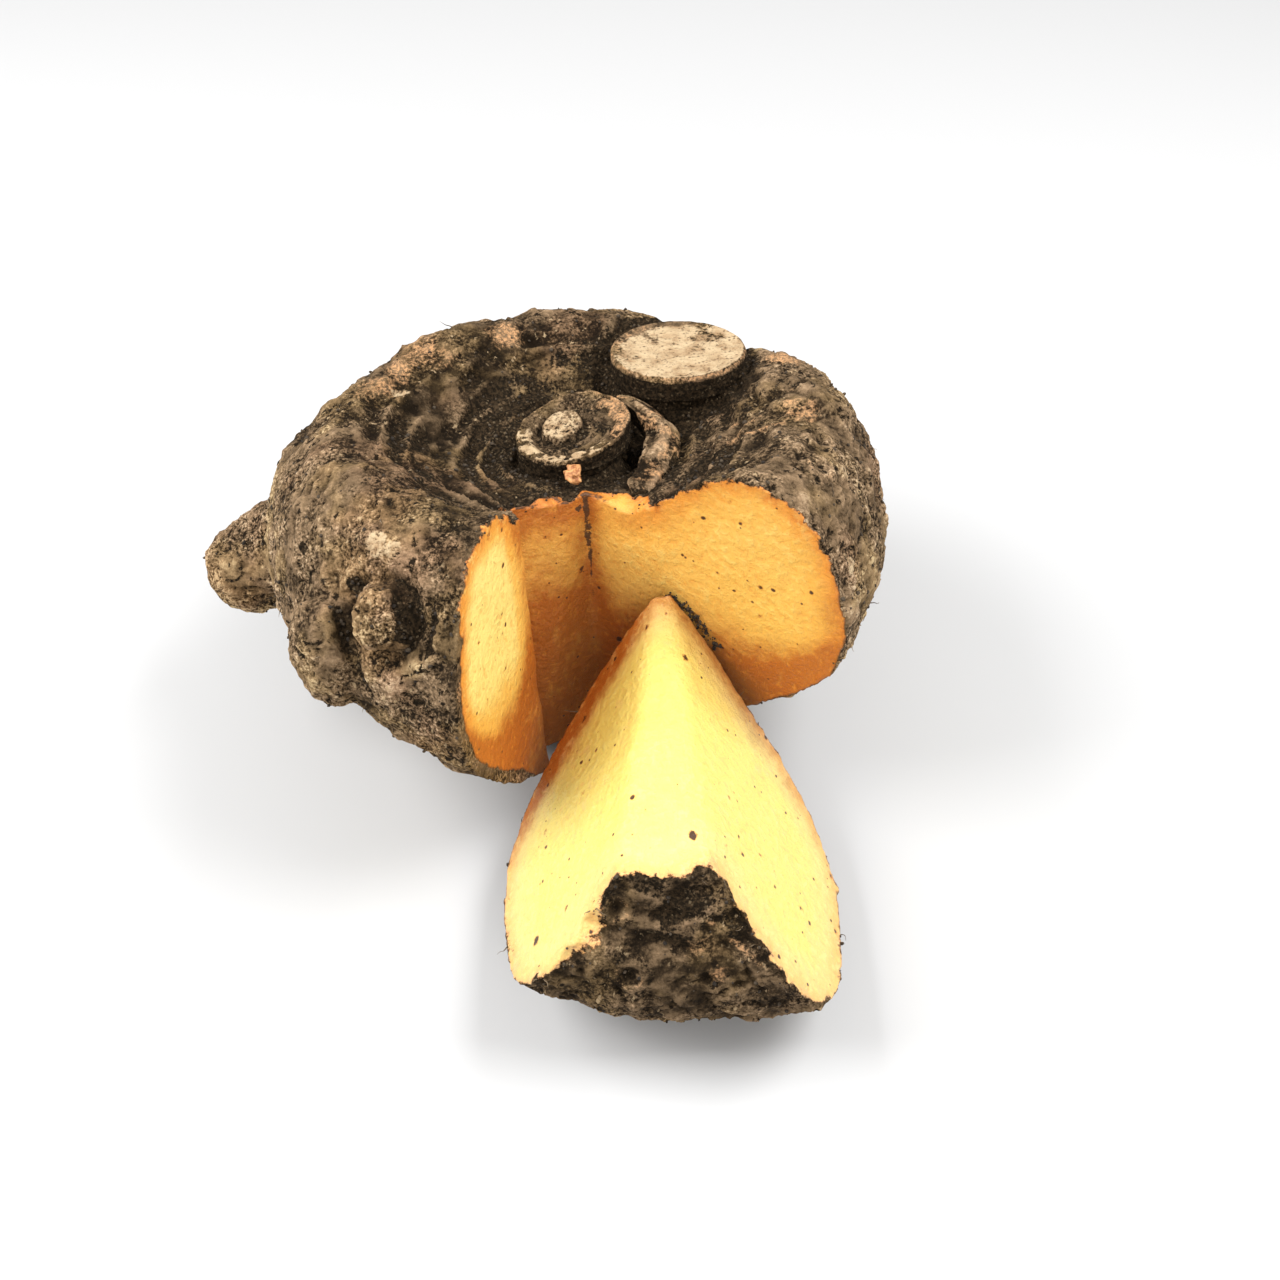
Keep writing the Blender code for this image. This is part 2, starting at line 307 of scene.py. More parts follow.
class Nodes:
    """Short ways to lay the nodes of a material."""

    def __init__(self, name: str) -> None:
        """Makes a new material and clears its node tree.

        Args:
            name: The material's name.
        """
        self.material = bpy.data.materials.new(name)
        self.material.use_nodes = True
        self.tree = self.material.node_tree
        self.tree.nodes.clear()
        self.place = Wire(self.add("ShaderNodeTexCoord").outputs["Object"])

    def add(self, kind: str) -> bpy.types.Node:
        """Adds a node."""
        return self.tree.nodes.new(kind)

    def stored(self, name: Stored) -> Wire:
        """A value stored on the points.

        Args:
            name: Which value.

        Returns:
            The value.
        """
        node = self.add("ShaderNodeAttribute")
        node.attribute_name = name.value
        return Wire(node.outputs["Fac"])

    def noise(self, width: float, detail: float, rough: float, stretch: Place = (1.0, 1.0, 1.0)) -> Wire:
        """Noise from 0 to 1.

        Args:
            width: The width of its lumps in metres.
            detail: How many finer layers it has.
            rough: How strong they are.
            stretch: How far the place is scaled along each axis first.

        Returns:
            The noise.
        """
        mapping = self.add("ShaderNodeMapping")
        self.place.plug(mapping.inputs["Vector"])
        mapping.inputs["Scale"].default_value = stretch
        node = self.add("ShaderNodeTexNoise")
        self.tree.links.new(mapping.outputs[0], node.inputs["Vector"])
        node.inputs["Scale"].default_value = 1.0 / width
        node.inputs["Detail"].default_value = detail
        node.inputs["Roughness"].default_value = rough
        return Wire(node.outputs["Fac"])

    def cells(self, width: float) -> tuple[Wire, Wire]:
        """Cells of one width.

        Args:
            width: Their width in metres.

        Returns:
            The distance from the middle of a cell, in cells, and the cell's own random number.
        """
        node = self.add("ShaderNodeTexVoronoi")
        self.place.plug(node.inputs["Vector"])
        node.inputs["Scale"].default_value = 1.0 / width
        split = self.add("ShaderNodeSeparateColor")
        self.tree.links.new(node.outputs["Color"], split.inputs[0])
        return Wire(node.outputs["Distance"]), Wire(split.outputs[0])

    def mix(
        self, share: Wire | float, first: Wire | Colour, second: Wire | Colour, kind: str = "MIX"
    ) -> Wire:
        """Mixes two colours, or multiplies them.

        Args:
            share: How much of the second shows.
            first: The first colour.
            second: The second colour.
            kind: MIX, or MULTIPLY to multiply the first by the second.

        Returns:
            The colour.
        """
        node = self.add("ShaderNodeMix")
        node.data_type = "RGBA"
        node.blend_type = kind
        join(share, node.inputs["Factor"])
        join(first, node.inputs[6])
        join(second, node.inputs[7])
        return Wire(node.outputs[2])

    def shader(self, colour: Wire, roughness: Wire | float) -> bpy.types.Node:
        """The material's shader, linked to its output.

        Args:
            colour: Its colour.
            roughness: Its roughness.

        Returns:
            The shader's node.
        """
        node = self.add("ShaderNodeBsdfPrincipled")
        join(colour, node.inputs["Base Color"])
        join(roughness, node.inputs["Roughness"])
        self.tree.links.new(node.outputs["BSDF"], self.add("ShaderNodeOutputMaterial").inputs["Surface"])
        return node


@dataclass(frozen=True)
class PlainFinish:
    """A dull finish that varies between two colours."""

    name: str
    dark: Colour
    light: Colour
    roughness: float = 0.95

    def material(self) -> bpy.types.Material:
        """Builds the material.

        Returns:
            The material.
        """
        nodes = Nodes(self.name)
        shade = nodes.noise(0.0020, 2.0, 0.6)
        nodes.shader(shade.gradient((0.40, self.dark), (0.62, self.light)), self.roughness)
        return nodes.material


@dataclass(frozen=True)
class YamFinish:
    """Earthy bark and damp cut flesh in one material, told apart by the depth under the skin."""

    name: str
    bark_black: Colour = (0.014, 0.009, 0.005)
    bark_dark: Colour = (0.050, 0.032, 0.017)
    bark_mid: Colour = (0.132, 0.086, 0.047)
    bark_warm: Colour = (0.225, 0.147, 0.082)
    bark_tan: Colour = (0.38, 0.255, 0.148)
    bark_light: Colour = (0.66, 0.49, 0.31)
    fleck: Colour = (0.52, 0.37, 0.21)
    olive: Colour = (0.94, 0.93, 0.80)
    mauve: Colour = (1.0, 0.93, 0.92)
    soil: Colour = (0.013, 0.009, 0.005)
    sand: Colour = (0.20, 0.145, 0.085)
    rubbed: Colour = (0.66, 0.36, 0.17)
    pale: Colour = (0.63, 0.47, 0.285)
    pale_shade: Colour = (0.40, 0.255, 0.135)
    pale_speck: Colour = (0.13, 0.078, 0.040)
    flesh_line: Colour = (0.22, 0.075, 0.016)
    flesh_edge: Colour = (0.64, 0.205, 0.030)
    flesh_outer: Colour = (0.82, 0.335, 0.050)
    flesh_mid: Colour = (0.89, 0.47, 0.085)
    flesh_inner: Colour = (0.91, 0.54, 0.115)
    flesh_light: Colour = (0.98, 0.78, 0.245)
    flesh_deep_orange: Colour = (0.50, 0.150, 0.019)
    flesh_strand: Colour = (0.82, 0.40, 0.075)
    strand_share: float = 0.30
    dirt: Colour = (0.075, 0.033, 0.013)
    bark_rough: float = 0.90
    flesh_rough: float = 0.42
    bark_shine: float = 0.07
    flesh_shine: float = 0.45
    bump_height: float = 0.0015
    flesh_reach: float = 24.0  # the depth in millimetres at which the flesh is all inner flesh
    # Each size of dirt speck: its cells' width, its largest size, the share of cells with none, its halo.
    specks: tuple[tuple[float, float, float, float], ...] = (
        (0.0130, 0.10, 0.45, 0.07),
        (0.0060, 0.13, 0.60, 0.07),
        (0.0030, 0.16, 0.80, 0.08),
    )

    def bark_colour(self, nodes: Nodes, crust: Wire, grain: Wire) -> Wire:
        """The bark's colour: crust, grain, soil, rubbed places and cream scars, with painted shade in the low
        places of the relief.

        Args:
            nodes: The material's nodes.
            crust: The noise of the crust.
            grain: The finer noise of the grains.

        Returns:
            The colour.
        """
        broad = nodes.noise(0.028, 3.0, 0.6)
        other = nodes.noise(0.041, 2.0, 0.5)
        coarse, fine = crust - 0.5, grain - 0.5
        light = nodes.stored(Stored.CRUST)
        patches = nodes.noise(0.0190, 4.0, 0.60).ramp(0.42, 0.58, 0.35, 1.45)
        value = coarse * 0.62 + 0.390 + (broad - 0.5) * 0.30
        value += fine * ((light * 0.70 + 0.78) * patches)
        # Lighter on the crests and darker in the low places of the relief: partly rubbed crests, partly
        # painted shade in the crevices.
        value += nodes.stored(Stored.RELIEF) * 0.18
        value += light * 0.17
        base = value.gradient(
            (0.22, self.bark_black),
            (0.36, self.bark_dark),
            (0.46, self.bark_mid),
            (0.58, self.bark_warm),
            (0.73, self.bark_tan),
            (0.90, self.bark_light),
        )
        base = nodes.mix(broad.ramp(0.46, 0.60), base, self.olive, "MULTIPLY")
        base = nodes.mix(other.ramp(0.50, 0.62), base, self.mauve, "MULTIPLY")
        threads = nodes.noise(0.0021, 2.0, 0.5, (1.0, 1.0, 0.35)).ramp(0.65, 0.72)
        base = nodes.mix(threads * patches.ramp(0.4, 1.4, 0.15, 0.75), base, self.fleck)
        middle, number = nodes.cells(0.0046)
        sunk = (middle + fine * 1.1).ramp(0.32, 0.16) * number.ramp(0.40, 0.65, 0.0, 0.95)
        base = nodes.mix(sunk, base, self.bark_black)
        uneven = coarse * 1.3 + fine * 1.1
        rub = (nodes.stored(Stored.RUBBED) + uneven).ramp(0.30, 0.95, 0.0, 0.90)
        base = nodes.mix(rub, base, nodes.mix(grain.ramp(0.38, 0.62), self.bark_warm, self.rubbed))
        spark = nodes.cells(0.0007)[1].ramp(0.93, 0.99) * 0.55
        rich = nodes.mix(grain.ramp(0.42, 0.62), self.soil, self.bark_dark)
        dark = (nodes.stored(Stored.SOIL_AND_SHADE) + uneven * -0.9).ramp(0.34, 0.60)
        base = nodes.mix(dark, base, nodes.mix(spark, rich, self.sand))
        scar = (nodes.stored(Stored.PALE) + (fine * 0.9 + coarse * 0.9)).ramp(0.34, 0.62)
        return nodes.mix(scar, base, self.scar_colour(nodes, crust, grain))

    def scar_colour(self, nodes: Nodes, crust: Wire, grain: Wire) -> Wire:
        """The colour of the cream scars, with their specks.

        Args:
            nodes: The material's nodes.
            crust: The noise of the crust.
            grain: The finer noise of the grains.

        Returns:
            The colour.
        """
        cream = nodes.mix(crust.ramp(0.38, 0.60), self.pale_shade, self.pale)
        cream = nodes.mix(nodes.stored(Stored.PALE).ramp(0.55, 0.95, 0.0, 0.6), cream, self.pale)
        middle, number = nodes.cells(0.0017)
        speck = middle.ramp(0.42, 0.18) * number.ramp(0.55, 0.80)
        speck = speck.maths("ADD", grain.ramp(0.46, 0.30), clamp=True)
        return nodes.mix(speck * 0.80, cream, self.pale_speck)

    def flesh_colour(self, nodes: Nodes, depth: Wire) -> Wire:
        """The flesh's colour: orange near the skin, yellow further in, with specks and pits of dirt, painted
        glints, and the painted light and shade of the corm's notch.

        Args:
            nodes: The material's nodes.
            depth: The depth under the skin in millimetres, with its torn edge.

        Returns:
            The colour.
        """
        cloud = nodes.noise(0.013, 4.0, 0.6)
        mottle = nodes.noise(0.0030, 3.0, 0.65)
        broad, fine = cloud - 0.5, mottle - 0.5
        colour = ((depth + broad * 9.0) * (1.0 / self.flesh_reach)).gradient(
            (0.0, self.flesh_edge),
            (0.12, self.flesh_outer),
            (0.35, self.flesh_mid),
            (0.85, self.flesh_inner),
        )
        orange_and_shading = nodes.stored(Stored.ORANGE_AND_SHADING) + broad * 0.9 + fine * 0.7
        # Deeper orange where the stored value is high and paler yellow where it is below 0; on the corm's
        # notch these are painted shade and painted light.
        colour = nodes.mix(orange_and_shading.ramp(0.15, 1.10), colour, self.flesh_deep_orange)
        colour = nodes.mix(orange_and_shading.ramp(0.02, -0.70), colour, self.flesh_light)
        glints = mottle.ramp(0.50, 0.70, 0.0, 0.50) * orange_and_shading.ramp(0.60, 0.0)
        colour = nodes.mix(glints, colour, self.flesh_light)
        colour = nodes.mix(mottle.ramp(0.46, 0.30, 0.0, 0.45), colour, self.flesh_outer)
        strands = nodes.noise(0.0042, 4.0, 0.62, (1.0, 0.55, 0.28)).ramp(0.54, 0.72, 0.0, self.strand_share)
        colour = nodes.mix(strands, colour, self.flesh_strand)
        for width, largest, bare, halo in self.specks:
            middle, number = nodes.cells(width)
            size = number.ramp(bare, 1.0, -0.02, largest)
            past = middle + fine * 0.34 - size
            there = size.ramp(0.0, 0.03)
            colour = nodes.mix(past.ramp(halo, 0.0, 0.0, 0.75) * there, colour, self.flesh_deep_orange)
            colour = nodes.mix(past.ramp(0.015, -0.015) * there, colour, self.dirt)
        # Dark flecks where soil is stored on the flesh: soil along the notch's inner corner, and painted
        # contact shadow with some soil by the wedge's tip.
        fallen = nodes.stored(Stored.SOIL_AND_SHADE) * ((fine + broad * 0.8) * 2.2 + 1.0)
        return nodes.mix(fallen.ramp(0.60, 0.80, 0.0, 0.92), colour, self.dirt)

    def material(self) -> bpy.types.Material:
        """Builds the material.

        Returns:
            The material.
        """
        nodes = Nodes(self.name)
        tear = nodes.noise(0.0062, 5.0, 0.66)
        reach = nodes.stored(Stored.TORN) * 11.0 + 4.6
        depth = nodes.stored(Stored.DEPTH) + (tear - 0.5) * reach
        flesh = depth.ramp(0.10, 0.40)
        crust = nodes.noise(0.0062, 6.0, 0.66)
        grain = nodes.noise(0.00125, 3.0, 0.70)
        bark = self.bark_colour(nodes, crust, grain)
        under_skin = depth.ramp(1.30, 0.30, 0.0, 0.90)
        meat = nodes.mix(under_skin, self.flesh_colour(nodes, depth), self.flesh_line)
        lumps = crust * 1.7 + grain * 0.55 + nodes.cells(0.0031)[0] * -0.45
        crumb = nodes.noise(0.0030, 5.0, 0.66) * 0.95
        height = nodes.add("ShaderNodeMix")
        flesh.plug(height.inputs[0])
        lumps.plug(height.inputs[2])
        crumb.plug(height.inputs[3])
        bump = nodes.add("ShaderNodeBump")
        bump.inputs["Strength"].default_value = 1.0
        bump.inputs["Distance"].default_value = self.bump_height
        Wire(height.outputs[0]).plug(bump.inputs["Height"])
        rough = flesh.ramp(0.0, 1.0, self.bark_rough, self.flesh_rough)
        shader = nodes.shader(nodes.mix(flesh, bark, meat), rough)
        shine = flesh.ramp(0.0, 1.0, self.bark_shine, self.flesh_shine)
        shine.plug(shader.inputs["Specular IOR Level"])
        Wire(bump.outputs["Normal"]).plug(shader.inputs["Normal"])
        return nodes.material


@dataclass(frozen=True)
class Spot:
    """A small place on the skin, in the whole yam's own frame."""

    place: Place
    reach: float


@dataclass
class YamPlan:
    """Where the features of the whole yam lie, in its own frame."""

    hollow_radius: float = 0.074
    ring_pitch: float = 0.0086
    ring_rise: float = 0.0015
    eye_middle: tuple[float, float] = (-0.0005, 0.0095)
    eye_radius: float = 0.0212
    eye_sink: float = 0.0046
    stalk_middle: tuple[float, float] = (0.0365, 0.0500)
    stalk_radius: float = 0.0256
    stalk_sink: float = 0.0020
    bare_place: tuple[float, float] = (0.0458, 0.0105)
    knob_way: Vector = field(default_factory=lambda: direction(236, 15))
    knob_radius: float = 0.0125
    knob_groove: float = 0.0132
    knob_fold: float = 0.0205
    rubbed: tuple[Spot, ...] = (
        Spot((-0.0725, 0.0235, 0.0503), 0.0085),
        Spot((-0.0640, 0.0380, 0.0515), 0.0070),
        Spot((-0.0570, 0.0500, 0.0522), 0.0110),
        Spot((-0.0261, 0.0635, 0.0505), 0.0075),
        Spot((0.0751, 0.0425, 0.0479), 0.0070),
        Spot((0.0795, -0.0005, 0.0515), 0.0070),
        Spot((0.0185, -0.0519, 0.0455), 0.0055),
        Spot((0.0262, -0.0597, 0.0517), 0.0040),
        Spot((0.0378, -0.0515, 0.0496), 0.0050),
        Spot((-0.0300, -0.0960, 0.0100), 0.0080),
    )
    pale: tuple[Spot, ...] = (
        Spot((-0.0605, -0.0725, 0.0469), 0.0052),
        Spot((-0.0545, -0.0745, 0.0462), 0.0030),
        Spot((-0.0639, 0.0264, 0.0485), 0.0034),
        Spot((0.0933, -0.0296, 0.0440), 0.0036),
        Spot((0.0930, -0.0566, 0.0236), 0.0040),
        Spot((0.0994, -0.0488, 0.0078), 0.0032),
        Spot((0.0500, 0.0850, 0.0100), 0.0050),
        Spot((-0.0950, 0.0350, 0.0050), 0.0030),
    )
    ringed: tuple[Spot, ...] = (
        Spot((0.0852, -0.0187, 0.0502), 0.0046),
        Spot((0.0838, -0.0375, 0.0498), 0.0044),
        Spot((-0.1290, -0.0069, -0.0040), 0.0040),
        Spot((-0.0097, -0.0455, 0.0384), 0.0042),
        Spot((-0.0025, -0.0629, 0.0521), 0.0046),
        Spot((0.0300, 0.0980, 0.0150), 0.0050),
        Spot((-0.0700, 0.0800, 0.0150), 0.0046),
        Spot((0.0950, 0.0350, -0.0150), 0.0050),
    )
    hollows: tuple[Spot, ...] = (
        Spot((-0.0495, -0.0915, 0.0290), 0.0044),
        Spot((-0.0500, -0.0898, 0.0335), 0.0042),
        Spot((-0.0505, -0.0880, 0.0375), 0.0036),
        Spot((-0.0515, -0.0928, 0.0245), 0.0036),
        Spot((-0.0684, -0.0749, 0.0332), 0.0036),
        Spot((-0.1147, -0.0091, 0.0081), 0.0024),
        Spot((-0.0881, -0.0555, 0.0351), 0.0026),
        Spot((0.0327, -0.0341, 0.0387), 0.0070),
    )
    grooves: tuple[Line, ...] = (
        (
            (-0.0770, -0.0700, 0.0330),
            (-0.0755, -0.0756, 0.0279),
            (-0.0712, -0.0855, 0.0160),
            (-0.0665, -0.0925, 0.0000),
        ),
        ((-0.0440, -0.0890, 0.0440), (-0.0415, -0.0930, 0.0330), (-0.0440, -0.0960, 0.0200)),
    )
    fibres: tuple[Line, ...] = (
        ((0.0540, -0.0030, 0.0400), (0.0680, 0.0030, 0.0470), (0.0799, 0.0051, 0.0518)),
        ((0.0560, 0.0060, 0.0400), (0.0700, 0.0120, 0.0470), (0.0780, 0.0150, 0.0510)),
        ((0.0480, -0.0110, 0.0390), (0.0600, -0.0060, 0.0440), (0.0740, -0.0080, 0.0510)),
        ((0.0080, -0.0400, 0.0330), (0.0250, -0.0480, 0.0420), (0.0400, -0.0540, 0.0500)),
    )


@dataclass
class SkinRelief:
    """The relief of the bark, in metres."""

    lump_width: float = 0.013
    lump_rise: float = 0.0015
    crust_width: float = 0.0050
    crust_rise: float = 0.00065
    crack_width: float = 0.0110
    crack_depth: float = 0.0011
    wart_count: int = 620
    wart_reach: tuple[float, float] = (0.0011, 0.0026)
    wart_rise: float = 0.0010
    pit_count: int = 320
    pit_reach: tuple[float, float] = (0.0010, 0.0020)
    pit_depth: float = 0.0010
    smoothing: int = 9


class Remesher:
    """Makes the fine closed mesh of a node and tells its cut faces from its skin.

    Faces in one plane are taken together. A plane is a cut where it is large, or has a long edge.
    """

    merge_reach = 0.00002
    normal_grid = 0.03
    offset_grid = 0.0012
    cut_area = 0.00025
    cut_edge = 0.020
    downward = -0.9
    upright = 0.5
    same_plane = 0.9995

    def __init__(self, node: bpy.types.Object, voxel: float, upright_cuts: bool) -> None:
        """Reads the node's solid.

        Args:
            node: The CAD node.
            voxel: The spacing of the fine mesh.
            upright_cuts: Whether the cut faces stand upright, as they do in the corm.
        """
        self.voxel = voxel
        shape = bmesh.new()
        shape.from_mesh(node.data)
        bmesh.ops.remove_doubles(shape, verts=shape.verts, dist=self.merge_reach)
        bmesh.ops.recalc_face_normals(shape, faces=shape.faces)
        shape.normal_update()
        groups: dict[tuple[int, ...], list[bmesh.types.BMFace]] = {}
        for face in shape.faces:
            offset = face.normal.dot(face.verts[0].co)
            facing = tuple(round(value / self.normal_grid) for value in face.normal)
            groups.setdefault((*facing, round(offset / self.offset_grid)), []).append(face)
        cut = set()
        for faces in groups.values():
            area = sum(face.calc_area() for face in faces)
            longest = max(edge.calc_length() for face in faces for edge in face.edges)
            level = faces[0].normal.z
            large = area > self.cut_area or longest > self.cut_edge
            if large and level > self.downward and (not upright_cuts or abs(level) < self.upright):
                cut.update(faces)
        changed = True
        while changed:
            changed = False
            for face in shape.faces:
                if face in cut:
                    continue
                near = [other for edge in face.edges for other in edge.link_faces if other in cut]
                if any(face.normal.dot(other.normal) > self.same_plane for other in near):
                    cut.add(face)
                    changed = True
        points = [vertex.co.copy() for vertex in shape.verts]
        shape.verts.index_update()
        corners = {True: [], False: []}
        for face in shape.faces:
            corners[face in cut].append([vertex.index for vertex in face.verts])
        self.cut_tree = BVHTree.FromPolygons(points, corners[True])
        self.skin_tree = BVHTree.FromPolygons(points, corners[False])
        self.solid = mesh_of(shape, f"{node.name}_solid")
        LOG.info("%s: %d of its faces are cut", node.name, len(corners[True]))

    def fine_mesh(self, name: str) -> bpy.types.Mesh:
        """The solid remeshed evenly.

        Args:
            name: The new mesh's name.

        Returns:
            The fine mesh.
        """
        carrier = put(name, self.solid)
        remesh = carrier.modifiers.new("even", "REMESH")
        remesh.mode = "VOXEL"
        remesh.voxel_size = self.voxel
        remesh.adaptivity = 0.0
        graph = bpy.context.evaluated_depsgraph_get()
        fine = bpy.data.meshes.new_from_object(carrier.evaluated_get(graph))
        bpy.data.objects.remove(carrier)
        fine.name = name
        return fine


class Sculpture:
    """A mesh whose points are moved, and the values that are stored on them."""

    pull = 0.6  # how far one round of smoothing moves a point towards its neighbours

    def __init__(self, mesh: bpy.types.Mesh, placed: Matrix) -> None:
        """Reads a mesh.

        Args:
            mesh: The mesh, where it lies in the scene.
            placed: The matrix from the whole yam's own frame to the piece's place.
        """
        self.mesh = mesh
        self.values: dict[Stored, np.ndarray] = {}
        self.read_points()
        back = np.array(placed.inverted())
        self.places = self.points @ back[:3, :3].T + back[:3, 3]
        self.radius = np.hypot(self.places[:, 0], self.places[:, 1])

    def read_points(self) -> None:
        """Reads the mesh's points and their normals."""
        flat = np.empty(len(self.mesh.vertices) * 3, dtype=np.float32)
        self.mesh.vertices.foreach_get("co", flat)
        self.points = flat.reshape(-1, 3).astype(float)
        self.mesh.vertex_normals.foreach_get("vector", flat)
        self.normals = flat.reshape(-1, 3).astype(float)

    def write_points(self) -> None:
        """Writes the moved points back to the mesh, none of them under the floor."""
        self.points[:, 2] = np.maximum(self.points[:, 2], 0.0)
        self.mesh.vertices.foreach_set("co", self.points.astype(np.float32).ravel())
        self.mesh.update()

    def raise_by(self, rise: np.ndarray) -> None:
        """Moves each point outwards by its rise."""
        self.points += self.normals * rise[:, None]

    def smooth(self, weight: np.ndarray, rounds: int) -> None:
        """Moves each point towards the mean of its neighbours, and reads the normals again.

        Args:
            weight: How far each point may move, from 0 to 1.
            rounds: How often.
        """
        pairs = np.empty(len(self.mesh.edges) * 2, dtype=np.int32)
        self.mesh.edges.foreach_get("vertices", pairs)
        first, second = pairs[0::2], pairs[1::2]
        count = np.bincount(np.concatenate([first, second]), minlength=len(self.points))[:, None]
        for _ in range(rounds):
            total = np.zeros_like(self.points)
            for axis in range(3):
                total[:, axis] = np.bincount(first, self.points[second, axis], len(self.points))
                total[:, axis] += np.bincount(second, self.points[first, axis], len(self.points))
            self.points += (total / count - self.points) * self.pull * weight[:, None]
        self.write_points()
        self.read_points()

    def noise(self, width: float, seed: float, octaves: int = 1, stretch: Place = (1, 1, 1)) -> np.ndarray:
        """Noise over the points, laid out in the whole yam's own frame."""
        return noise_at(self.places * np.array(stretch), width, seed, octaves)

    def away(self, place: tuple[float, ...]) -> np.ndarray:
        """The distance of each point from a place, seen from above where the place has no height."""
        return np.linalg.norm(self.places[:, : len(place)] - np.array(place), axis=1)

    def away_from_line(self, corners: Line) -> np.ndarray:
        """The distance of each point from a bent line.

        Args:
            corners: The line's corners.

        Returns:
            The distances.
        """
        nearest = np.full(len(self.places), 1.0)
        for start, end in zip(corners, corners[1:]):
            start, way = np.array(start), np.array(end) - np.array(start)
            share = np.clip((self.places - start) @ way / way.dot(way), 0.0, 1.0)
            apart = self.places - start - share[:, None] * way
            nearest = np.minimum(nearest, np.linalg.norm(apart, axis=1))
        return nearest

    def across_skin(self, way: Vector) -> np.ndarray:
        """The distance of each point over the skin from where a direction from the middle meets it."""
        ways = self.places / np.linalg.norm(self.places, axis=1)[:, None]
        return np.linalg.norm(ways - np.array(way), axis=1) * SKIN_RADIUS

    def add(self, name: Stored, values: np.ndarray) -> None:
        """Raises a stored value to new ones where they are higher."""
        old = self.values.get(name)
        self.values[name] = values if old is None else np.maximum(old, values)

    def finish(self, name: str, material: bpy.types.Material, slot: str, node: str) -> bpy.types.Object:
        """Stores the values and makes the object.

        Args:
            name: The object's name.
            material: Its material.
            slot: The record's material slot; it is not used.
            node: The CAD node that it stands for.

        Returns:
            The object.
        """
        self.write_points()
        for stored, values in self.values.items():
            layer = self.mesh.attributes.new(stored.value, "FLOAT", "POINT")
            layer.data.foreach_set("value", values.astype(np.float32))
        piece = hand_over(name, self.mesh, material)
        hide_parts(node)
        return piece

    def finish_growth(self, name: str, material: bpy.types.Material) -> bpy.types.Object:
        """Makes the object of a growth on the corm, which is bark all over.

        Args:
            name: The object's name.
            material: Its material.

        Returns:
            The object.
        """
        self.add(Stored.DEPTH, np.full(len(self.points), BARK_DEPTH))
        return self.finish(name, material, Corm.slot, Corm.node_name)


